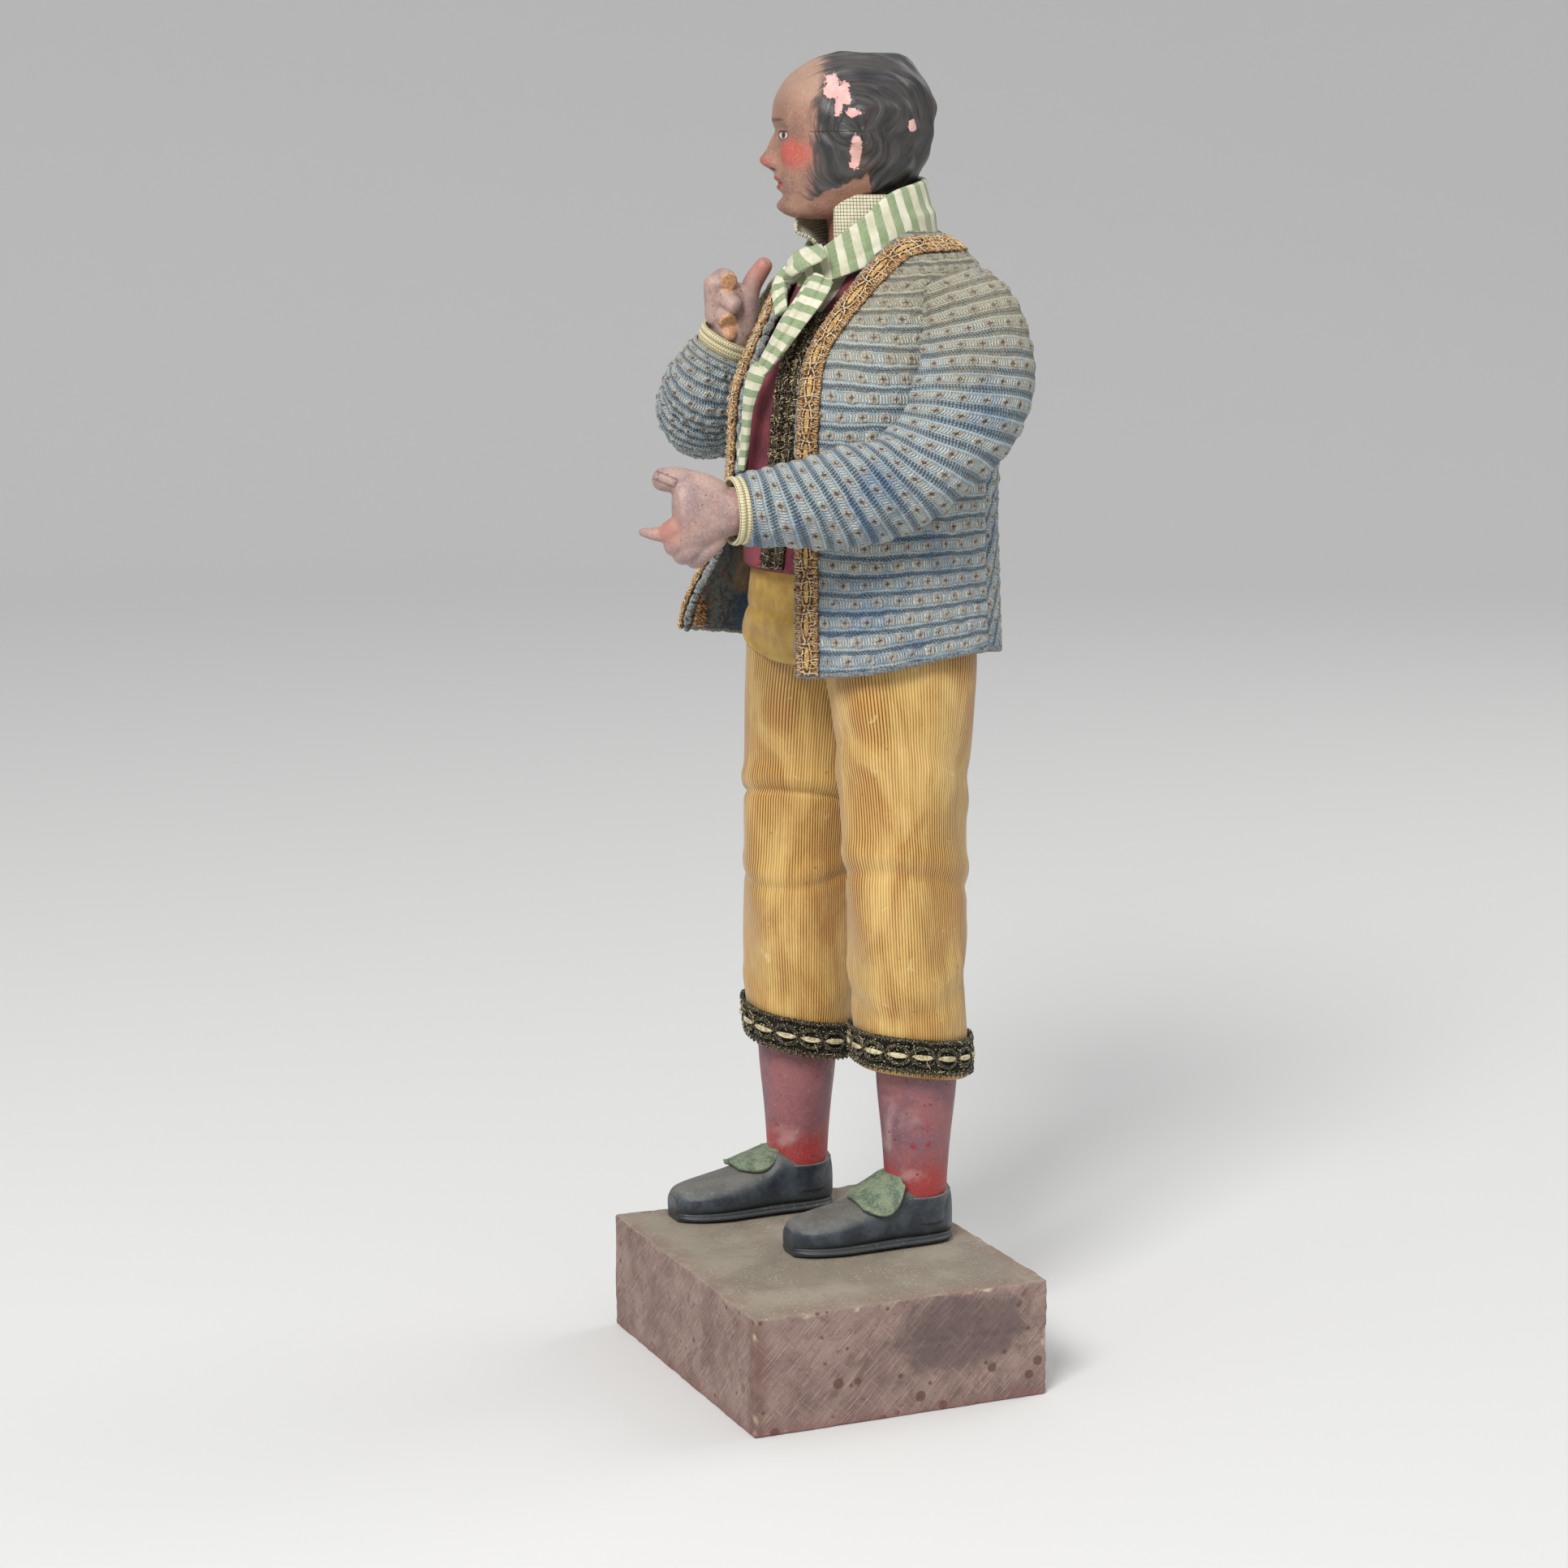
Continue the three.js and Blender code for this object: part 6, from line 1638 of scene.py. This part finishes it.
HANDS = {
    "left": (17, 0.0, [
        [0, 0.98, 0.98], [0.37, 0.98, 0.98], [0.5, 1.06, 0.88], [0.75, 1.45, 0.76], [0.92, 1.4, 0.66], [1, 1.0, 0.5]], [
        finger([(4, 0, 5.4), (8, -1, 7.8), (12.5, -2, 9.6), (18.4, -3, 10.6)], [4.1, 4.0, 3.6, 3.7, 3.3]),
        finger([(10, -1, -3), (16, -4, -5), (21, -5, -4.6), (24.6, -5.2, -3.8)], [3.2, 2.8, 2.5, 2.0, 1.2]),
        finger([(9, 0, -1.2), (15.4, -0.4, -2.6), (17.6, -3, -4.4), (14.6, -6.6, -6)], [3.4, 3.2, 3.0, 2.8]),
        finger([(10, 0, -4.2), (14.9, -0.2, -5.8), (16.2, -3.4, -8.2), (12, -7.2, -8.4)], [3.2, 3.0, 3.0, 2.7]),
        finger([(8, 0, -6.6), (13, -0.4, -9.6), (13.6, -4.2, -11.2), (9.6, -7, -10.6)], [3.1, 2.9, 2.9, 2.5]),
        finger([(4.5, 0, -7), (9.0, -0.4, -11), (10.2, -4, -12.8), (6.6, -6.6, -11.6)], [2.9, 2.7, 2.7, 2.4])]),
    "right": (16, RIGHT_LEAN, [
        [0, 0.98, 0.98], [0.42, 0.98, 0.98], [0.6, 1.12, 0.8], [0.85, 1.1, 0.66], [1, 0.75, 0.44]], [
        finger(leaning([(4, 1, 4), (10, 0.6, 5.4), (17, 0, 7.4), (24, 0, 11.6)]), [4.1, 3.8, 3.1, 3.0, 2.6]),
        finger(leaning([(9, -3, -2.8), (13.4, -2.4, -3.0), (15.8, 1.2, -1.4), (16.4, 5.0, 0.0)]), [3.3, 3.3, 3.0, 2.6]),
        finger(leaning([(6.4, -3, -4), (10.4, -1.6, -4.6), (11.4, 2.6, -2.4), (10.8, 6.3, 1.2)]), [3.3, 3.2, 3.0, 2.7]),
        finger(leaning([(4, -2, -4.6), (6.4, -0.4, -4.6), (6.2, 3.4, -2.2), (5.2, 6.8, -0.8)]), [3.3, 3.2, 3.0, 2.8]),
        finger(leaning([(3, -1, -3), (2.4, 1.0, -3.6), (1.8, 3.6, -2.0), (1.6, 6.2, -0.6)]), [3.0, 3.0, 2.8, 2.4])])}
PALM_SWELLS = {
    "left": finger([(6.5, -2.6, -7), (12, -3.6, -5)], [3.6, 3.8]),
    "right": finger(leaning([(4, 1.6, -5.0), (13, 2.2, -5.2)]), [3.4, 3.3])}
BROKEN = {1: ((16.4, 5.0, 0.0), (0.15, 0.94, 0.3)), 3: ((5.2, 6.8, -0.8), (-0.2, 0.9, 0.3))}


def hand_paint():
    finish = Finish("hand_paint", Roughness=0.5)
    where = finish.place()
    soft = finish.cloud(where, 8, 5, 0.6)
    fine = finish.cloud(where, 0.7, 5, 0.75)
    colour = finish.coats(
        (180, 150, 138),
        (soft.rise(0.38, 0.62), 152, 126, 124),
        (finish.cloud(where, 3.2, 5, 0.65, 0.6).rise(0.52, 0.66) * 0.45, 166, 112, 102),
        (fine.rise(0.5, 0.7) * 0.45, 206, 188, 182),
        (fine.rise(0.46, 0.3) * 0.45, 118, 86, 80),
        (finish.grains(where, 2.6).rise(0.13, 0.07) * 0.8, 92, 56, 48))
    bare, rosy, dark = finish.marked("marks")
    colour = finish.coats(
        colour,
        (rosy * 0.7, 186, 104, 84),
        (dark * (fine * 1.2), 88, 56, 50))
    clay = finish.mix(fine.rise(0.4, 0.62), tint(176, 124, 90), tint(208, 164, 126))
    colour = finish.mix((bare + fine * 0.4 - 0.2).rise(0.4, 0.6), colour, clay)
    relief = soft * 0.6 + fine * 0.35 + finish.cloud(where, 2.4, 3, 0.5) * 0.6
    return finish.done(colour, relief, 0.3, roughness=fine * 0.25 + 0.36)


flesh_finish = hand_paint()
for side, (length, lean, stations, fingers) in HANDS.items():
    basis, origin = hand_frame(side)
    palm_at = palm_point(length, stations, lean)

    def into(spots):
        return spots @ basis.T + origin

    parts = [surface(f"palm_{side}", lambda u, v: into(palm_at(-u, v)), 48, 60, closed=True, capped=True)]
    for k, at in enumerate(fingers):
        parts.append(rounded(f"finger_{side}_{k}", at, into, end=not (side == "right" and k in BROKEN)))
    parts.append(rounded(f"palm_swell_{side}", PALM_SWELLS[side], into))
    hand = cast(f"painted_hand_{side}", parts, 0.42, 5)
    local = (turned(read_spots(hand) * 1000 - STAND, -BODY_TURN) - origin) @ basis
    bare, rosy, dark = (np.zeros(len(local)) for _ in range(3))
    if side == "right":
        for spot, outward in BROKEN.values():
            away = local - leaning([spot])[0]
            flat = away @ outward / np.linalg.norm(outward)
            aside = np.sqrt(np.maximum(0, (away * away).sum(1) - flat ** 2))
            chipped = 0.35 * waves(local, 2.0, 41)
            bare = np.maximum(bare, ramp(flat + chipped, -0.9, -0.5) * ramp(aside + chipped, 3.6, 3.1))
        away = np.linalg.norm(local - leaning([(1.6, 7.6, -0.2)])[0], axis=1)
        bare = np.maximum(bare, 0.8 * ramp(away, 2.0, 1.3))
        rosy = bump(np.linalg.norm(local - [23, 0, -0.5], axis=1), 0, 5)
    else:
        x, y, z = local.T
        along_nail = (x - 15.5) * 0.887 + (z - 9.2) * 0.462
        beside_nail = np.abs((z - 9.2) * 0.887 - (x - 15.5) * 0.462 - 0.1)
        dark = ramp(np.abs(beside_nail - 1.15), 0.42, 0.16) * ramp(along_nail, 0.2, 0.9) * (along_nail < 6) * (y > -3)
        dark = np.maximum(dark, ramp(np.abs(along_nail - 0.6), 0.4, 0.15) * (beside_nail < 1.2) * (y > -3))
        rosy = bump(np.linalg.norm(local - [17.6, -1, -3.4], axis=1), 0, 4.2)
    mark(hand, "marks", bare, rosy, dark)
    finish_piece(hand, flesh_finish, "painted_clay", f"hand_{side}")


# Neckerchief
# A strip of cream cotton with sage-green stripes, folded lengthways, laid round the collar and knotted in
# front. Its two ends hang down over the waistcoat.
kerchief_row = course([
    [-96, 23.4, 288.0, 6.6], [-74, 19.4, 292.0, 11.4], [-45, 17.4, 297.4, 14.4], [-20, 17.2, 302.0, 17.6],
    [15, 17.4, 305.0, 17.8], [50, 17.6, 306.6, 17.0], [90, 17.8, 307.4, 16.5], [135, 17.6, 304.6, 15.5],
    [180, 17.2, 299.0, 13.0], [210, 17.0, 294.4, 10.4], [236, 18.4, 291.4, 8.6], [258, 23.4, 288.0, 5.6]])


def kerchief_point(u, v):
    turn = -96 + 354 * u
    radius, middle, width = kerchief_row(turn)
    fold = np.clip((v - 0.46) / 0.08, 0, 1)
    up = np.where(v < 0.5, np.minimum(v / 0.46, 1), np.minimum((1 - v) / 0.46, 1))
    layer = 0.55 * np.cos(np.pi * fold)
    soft = 0.35 * np.sin(u * 37 + up * 2.5) + 0.8 * bump(up, 0.42 + 0.06 * np.sin(u * 9), 0.12) * bump(turn, 60, 60)
    soft = soft + 0.7 * bump(up, 0.62 - 0.3 * u, 0.07) * bump(turn, 30, 40) - 0.6 * bump(up, 0.3, 0.08) * bump(turn, -40, 25)
    outward = radius - 3 * (up - 0.5) * (width / 15) + layer + 0.75 + soft * 0.6
    z = middle + (up - 0.5) * width * 0.97 + 0.5 * np.sin(np.pi * fold)
    return points_of(-0.6 + outward * np.cos(np.radians(turn)), outward * np.sin(np.radians(turn)), z)


def striped_cotton(name, period, lean):
    finish = Finish(name, Roughness=0.8, Sheen_Weight=0.2)
    where = finish.place()
    along, across = finish.cloth()
    wander = finish.cloud(where, 3, 3, 0.5) * 0.5 - 0.25
    stripe = ((along + across * lean + wander) / period).part()
    green = (stripe - 0.5).size().rise(0.265, 0.235)
    zigzag = (((across / 1.9).part() - 0.5).size() * 1.9 + along)
    twill = zigzag.wave(0.62) * 0.5 + 0.5
    plain = along.wave(0.5) * across.wave(0.5)
    soft = finish.cloud(where, 6, 5, 0.6)
    soil = finish.cloud(where, 1.8, 4, 0.7)
    cream = finish.coats(
        (222, 218, 196),
        (soft.rise(0.36, 0.66), 198, 194, 166),
        (soil.rise(0.58, 0.72) * 0.4, 184, 176, 156))
    sage = finish.coats(
        (154, 170, 128),
        (soft.rise(0.36, 0.66), 172, 184, 148),
        (twill.rise(0.75, 0.15) * 0.7, 104, 126, 84))
    colour = finish.mix(green, cream, sage)
    colour = finish.coats(
        colour,
        (plain.rise(0.1, -0.9) * 0.16, 120, 118, 92),
        (finish.grains(where, 17).rise(0.075, 0.05) * soil.rise(0.4, 0.5) * 0.7, 84, 150, 124))
    return finish.done(colour, twill * green * 0.5 + plain * 0.15 + soft * 0.6, 0.15)


cotton_finish = striped_cotton("striped_cotton", 5.3, 0.26)
end_finish = striped_cotton("striped_cotton_ends", 4.6, 0.14)
band = surface("neckerchief_band", kerchief_point, 200, 60, wall=0.45, straight=True)
finish_piece(band, cotton_finish, "striped_cloth", "neckerchief")


def tail_piece(name, places, radii, pleats, seed, deep):
    at = limb(places, radii)

    def point(u, v):
        turn = 2 * np.pi * v + 0.5
        t = np.clip(u, 0, 1)
        closing = np.clip(np.minimum(u, 1 - u) / 0.012, 0.06, 1) ** 0.5
        fold = 1 + deep * np.sin(pleats * turn + seed + 2 * t) + 0.5 * deep * np.sin((pleats + 3) * turn - 3 * t + seed)
        drape = 0.35 * np.sin(9 * t + seed) * np.cos(turn)
        return at(turn, t, drape * closing, 0.0, fold * closing)
    return surface(name, point, 110, 56, closed=True, straight=True, capped=True)


TAILS = [
    ("long_end",
     [(5.6, -24.2, 287.6), (5.2, -29.4, 281), (3.0, -34.4, 273), (-1.2, -37.4, 265.6), (-4.2, -38.8, 260.2)],
     [[0, 4.0, 2.6], [0.25, 4.6, 2.4], [0.6, 4.2, 2.2], [0.86, 3.2, 1.9], [1, 1.9, 1.5]], 4, 0.4, 0.2),
    ("long_end_front",
     [(-4.4, -38.8, 263.4), (-6.4, -39.8, 257), (-9.2, -39.8, 246.6), (-11.2, -39.4, 238), (-12.4, -39, 231.4)],
     [[0, 1.5, 1.3], [0.1, 2.9, 1.8], [0.24, 2.7, 1.6], [0.45, 2.0, 1.3], [1, 1.7, 1.0]], 2, 1.2, 0.12),
    ("long_end_back", [(-4.6, -38.2, 261), (-8.2, -38.6, 253), (-12.0, -38.4, 243), (-14.0, -38, 234)],
     [[0, 2.2, 1.2], [0.3, 2.0, 1.2], [1, 1.2, 0.8]], 2, 2.6, 0.12),
    ("short_end", [(-4.6, -24.4, 290.4), (-8.0, -26.4, 287), (-7.0, -29, 283), (-2.6, -31.4, 277.4)],
     [[0, 2.0, 1.8], [0.3, 2.6, 1.6], [0.6, 2.4, 1.4], [1, 2.0, 1.0]], 3, 1.7, 0.16),
    ("wrap", [(5.4, -22.4, 295.4), (1.6, -26.6, 292.6), (-3.6, -26.4, 290.2), (-5.4, -23.4, 287.2)],
     [[0, 3.4, 1.6], [0.4, 4.2, 2.6], [0.75, 3.8, 2.6], [1, 2.6, 1.8]], 3, 0.9, 0.14)]
tails = [tail_piece(f"neckerchief_{name}", *shape) for name, *shape in TAILS]
for tail in tails:
    cotton = cotton_finish if tail.name == "neckerchief_wrap" else end_finish
    finish_piece(tail, cotton, "striped_cloth", "neckerchief")


# Head
# One terracotta casting of head and neck, the hair modelled in soft locks. The flesh is painted with rosy
# cheeks; the hair is near black, and has flaked to a pink ground above and behind the ear.
HEAD_TURN = math.radians(-41)
HEAD = np.array([-4.1, -5.6, 328.0])
head_row = course([
    [-24.0, 14.0, -2.0, 5.0], [-22.4, 17.4, 3.0, 8.6], [-19, 18.8, 10.5, 11.6], [-14, 19.2, 16.0, 14.6],
    [-8, 19.6, 20.4, 16.6], [-2, 20.2, 22.4, 17.6], [4, 21.4, 23.2, 18.2], [10, 21.2, 22.8, 18.2],
    [16, 18.0, 20.2, 16.2], [20, 13.4, 16.8, 13.0], [22.6, 8.2, 12.2, 8.8], [24, 2.0, 5.0, 3.0]])


def face_relief(x, z):
    s = np.abs(x)
    nose = (5.4 * bump(x, 0, 2.3) * bump(z, -7.2, 3.0) + 2.2 * bump(x, 0, 2.0) * bump(z, -2.4, 3.4)
            + 1.5 * bump(s, 2.6, 1.5) * bump(z, -8.2, 1.6))
    lips = (1.5 * bump(x, 0, 3.8) * bump(z, -12.2, 1.1) + 1.3 * bump(x, 0, 3.2) * bump(z, -14.8, 1.2)
            - 0.5 * bump(x, 0, 4.2) * bump(z, -13.5, 0.6))
    chin = 1.8 * bump(x, 0, 4.2) * bump(z, -20.4, 2.4) - 0.9 * bump(x, 0, 4) * bump(z, -17.2, 1.3)
    eyes = 1.7 * bump(s, 6.4, 2.1) * bump(z, 0.2, 1.5) - 2.4 * bump(s, 6.4, 3.4) * bump(z, 0.6, 2.6)
    brows = 1.1 * bump(s, 6.2, 4.6) * bump(z, 4.6, 1.7) - 0.7 * bump(x, 0, 2) * bump(z, 1.4, 1.8)
    return nose + lips + chin + eyes + brows + 1.2 * bump(s, 9.6, 3.4) * bump(z, -5.6, 3.6)


def hair_relief(turn, z):
    sides = 2.2 * bump(turn, 98, 24) * bump(z, 2, 9)
    back = 1.6 * ramp(turn, 110, 150)
    return ramp(turn, 62, 84) * ramp(z, -19, -12) * (0.9 + sides + back + 0.35 * np.sin(z * 0.5 + turn * 0.09))


def in_head(points):
    return turned(points, HEAD_TURN) + HEAD


def skull_point(u, v):
    turning = 2 * np.pi * u
    angle = turning + 0.35 * np.cos(turning)
    z = -24 * np.cos(np.pi * v)
    front, back, half_width = head_row(z)
    c, s = np.cos(angle), np.sin(angle)
    turn = np.degrees(np.arccos(np.clip(-s, -1, 1)))
    hair = hair_relief(turn, z)
    x = (half_width + hair) * c
    before = (front + hair * 0.5) * -s + face_relief(x, z) * np.minimum(1, 1.6 * -s)
    forward = np.where(s < 0, before, -(back + hair) * s)
    closing = 1 - 0.9 * (bump(v, 0, 0.006) + bump(v, 1, 0.006))
    middle = np.where(v < 0.5, 6.0, -1.5)
    return in_head(points_of(x * closing, -(middle + (forward - middle) * closing), z))


neck_limb = limb([(-0.6, 0, 294), (-0.6, 0, 304), (-2.4, -2.4, 320)], [[0, 12, 12], [1, 12, 12]])


def neck_point(u, v):
    turn = -2 * np.pi * u
    closing = np.clip(np.minimum(v, 1 - v) / 0.01, 0.08, 1)
    return neck_limb(turn, v, (0.5 * np.sin(2 * turn + 1) + 0.4 * bump(v, 0.4, 0.15)) * closing, 0.0, closing)


skull = surface("skull", skull_point, 240, 180, closed=True, capped=True)
neck = surface("neck", neck_point, 80, 60, closed=True, capped=True)
head = cast("painted_head", [skull, neck], 0.4, 3)
spots = read_spots(head)
local = turned(turned(spots * 1000 - STAND, -BODY_TURN) - HEAD, -HEAD_TURN)
x, f, z = local[:, 0], -local[:, 1], local[:, 2]
ragged = waves(local, 5, 11) + 0.5 * waves(local, 2, 12)
low_edge = np.where(f > -6, -16.5 + 0.47 * (6.6 - f), -10.6 - 11 * ramp(f, -6, -8))
hairy = ramp(f + 0.3 * ragged + 2.4 * ramp(z, 9, 14) - 1.2 * ramp(z, -9, -15), 14.4, 4.0)
hairy = hairy * ramp(z + 0.5 * ragged, -0.9 + low_edge, 0.9 + low_edge)
around = np.arctan2(z - 1.0, -(f + 4.0))
from_ear = 22 * np.arccos(np.clip(np.abs(x) / 20.5, 0, 1))
lock = from_ear + 1.8 * np.sin(2.5 * around + from_ear / 5) + 1.3 * around
waved = (0.5 * np.sin(2 * np.pi * lock / 8.2 + 1.6 * np.sin(2.6 * around + 0.6))
         + 0.14 * np.sin(2 * np.pi * lock / 3.1 + 2.2 * around) + 0.4 * waves(local, 9, 21))
waved *= 0.35 + 0.65 * ramp(from_ear, 5, 15)
pocket = 0.6 * bump(f, -3, 4) * bump(z, 6.6, 2.0) - 0.6 * bump(f, -4.2, 2.6) * bump(z, 2.2, 1.9)
lids = 0.35 * bump(np.hypot((np.abs(x) - 6.3) / 2.7, (z - 0.2) / 1.35), 1.1, 0.16) * (f > 10)
raised = hairy * (waved + pocket * (x > 0)) + lids
move_spots(head, spots + read_spots(head, "normal") * raised[:, None] * 0.001)
mark(head, "spot", x, f, z)
mark(head, "locks", lock, around * 10, hairy)


def head_paint():
    finish = Finish("head_paint", Roughness=0.5, Coat_Weight=0.18, Coat_Roughness=0.3)
    where = finish.place()
    x, forward, z = finish.marked("spot")
    lock, around, hairy = finish.marked("locks")
    beside = x.size()
    soft = finish.cloud(where, 9, 5, 0.6)
    fine = finish.cloud(where, 0.6, 5, 0.75)

    def round_spot(at_x, at_z, half_width, half_height):
        across, up = (beside - at_x) / half_width, (z - at_z) / half_height
        return (across * across + up * up).root()

    in_front = forward.rise(8, 12)
    lips = round_spot(0, -13.5, 4.1, 2.2).rise(1.08, 0.9) * in_front
    brow = round_spot(6.4, 4.6, 4.0, 0.6).rise(1.15, 0.6) * in_front
    eye = round_spot(6.3, 0.2, 2.7, 1.1)
    eyeball = eye.rise(1.02, 0.9) * in_front
    skin = finish.coats(
        (164, 122, 102),
        (soft.rise(0.36, 0.64), 136, 98, 84),
        # Lighter towards the top of the head: a painted highlight on the forehead.
        (z.rise(4, 16) * 0.6, 180, 146, 124),
        ((round_spot(9.8, -4.8, 6.4, 5.6) + soft * 0.5 - 0.25).rise(1.15, 0.3) * 0.85, 190, 78, 68),
        ((round_spot(0, -7.6, 3.6, 2.6)).rise(1.2, 0.2) * in_front * 0.5, 190, 84, 72),
        # Darker and redder under the jaw and down the neck, most towards the back: painted shade.
        ((z + forward * 0.5).rise(-12, -24) * 0.6, 140, 78, 64),
        (fine.rise(0.5, 0.7) * 0.4, 198, 172, 152),
        (fine.rise(0.46, 0.3) * 0.45, 102, 66, 56),
        (lips * 0.85, 156, 62, 56),
        (round_spot(0, -13.5, 3.9, 0.34).rise(1.3, 0.6) * in_front, 74, 26, 26),
        (round_spot(1.9, -9.5, 0.8, 0.5).rise(1.4, 0.6) * in_front, 86, 36, 32),
        (brow * (fine * 0.8 + 0.3), 74, 48, 36),
        (eye.rise(1.35, 1.12) * in_front * 0.7, 96, 50, 42),
        (eyeball, 204, 197, 184),
        (round_spot(6.3, 1.25, 2.9, 0.35).rise(1.2, 0.7) * in_front, 58, 34, 28),
        (round_spot(6.6, 0.25, 1.2, 1.15).rise(1.05, 0.85) * eyeball, 70, 50, 40),
        (round_spot(6.6, 0.25, 0.6, 0.6).rise(1.1, 0.8) * in_front, 14, 12, 12))
    strokes = finish.cloud((lock * 1.6, around * 0.16, x * 0.02), 1.0, 4, 0.65, 0.3)
    broad = finish.cloud((lock * 0.4, around * 0.1), 1.0, 3, 0.6)
    hair = finish.coats(
        (38, 38, 41),
        (broad.rise(0.36, 0.62), 68, 64, 61),
        (strokes.rise(0.57, 0.77) * 0.5, 108, 104, 100),
        (strokes.rise(0.42, 0.28) * 0.7, 26, 26, 30),
        (finish.cloud(where, 11, 4, 0.6).rise(0.56, 0.68) * 0.5, 90, 64, 54))
    flaked = (hairy * 1.35 + strokes * 2.2 + fine * 0.3 - 1.5).rise(0.02, 0.74)
    colour = finish.mix(flaked, skin, hair)
    torn = finish.cloud(where, 2.6, 4, 0.75) * 2.6 - 1.3

    def patch(at_f, at_z, reach_f, reach_z):
        across, up = (forward - at_f) / reach_f, (z - at_z) / reach_z
        return (across * across + up * up).root() + torn

    bare = patch(4.4, 13.4, 2.6, 3.4).least(patch(1.6, 12.2, 2.4, 3.4)).least(patch(2.6, 8.4, 1.3, 3.0))
    bare = bare.least(patch(-1.6, 6.4, 2.6, 1.2)).least(patch(-2.4, -5.0, 1.9, 4.4)).least(patch(-18.4, 3.0, 1.2, 1.6))
    bare = bare.rise(1.02, 0.94) * x.rise(2, 5)
    colour = finish.mix(bare, colour, finish.mix(fine.rise(0.45, 0.62), tint(226, 178, 178), tint(228, 176, 150)))
    relief = soft * 0.3 + fine * 0.25 + strokes * flaked * 0.8 - bare * 0.9
    return finish.done(colour, relief, 0.32, roughness=flaked * -0.16 + fine * 0.18 + 0.42)


finish_piece(head, head_paint(), "painted_clay", "head")
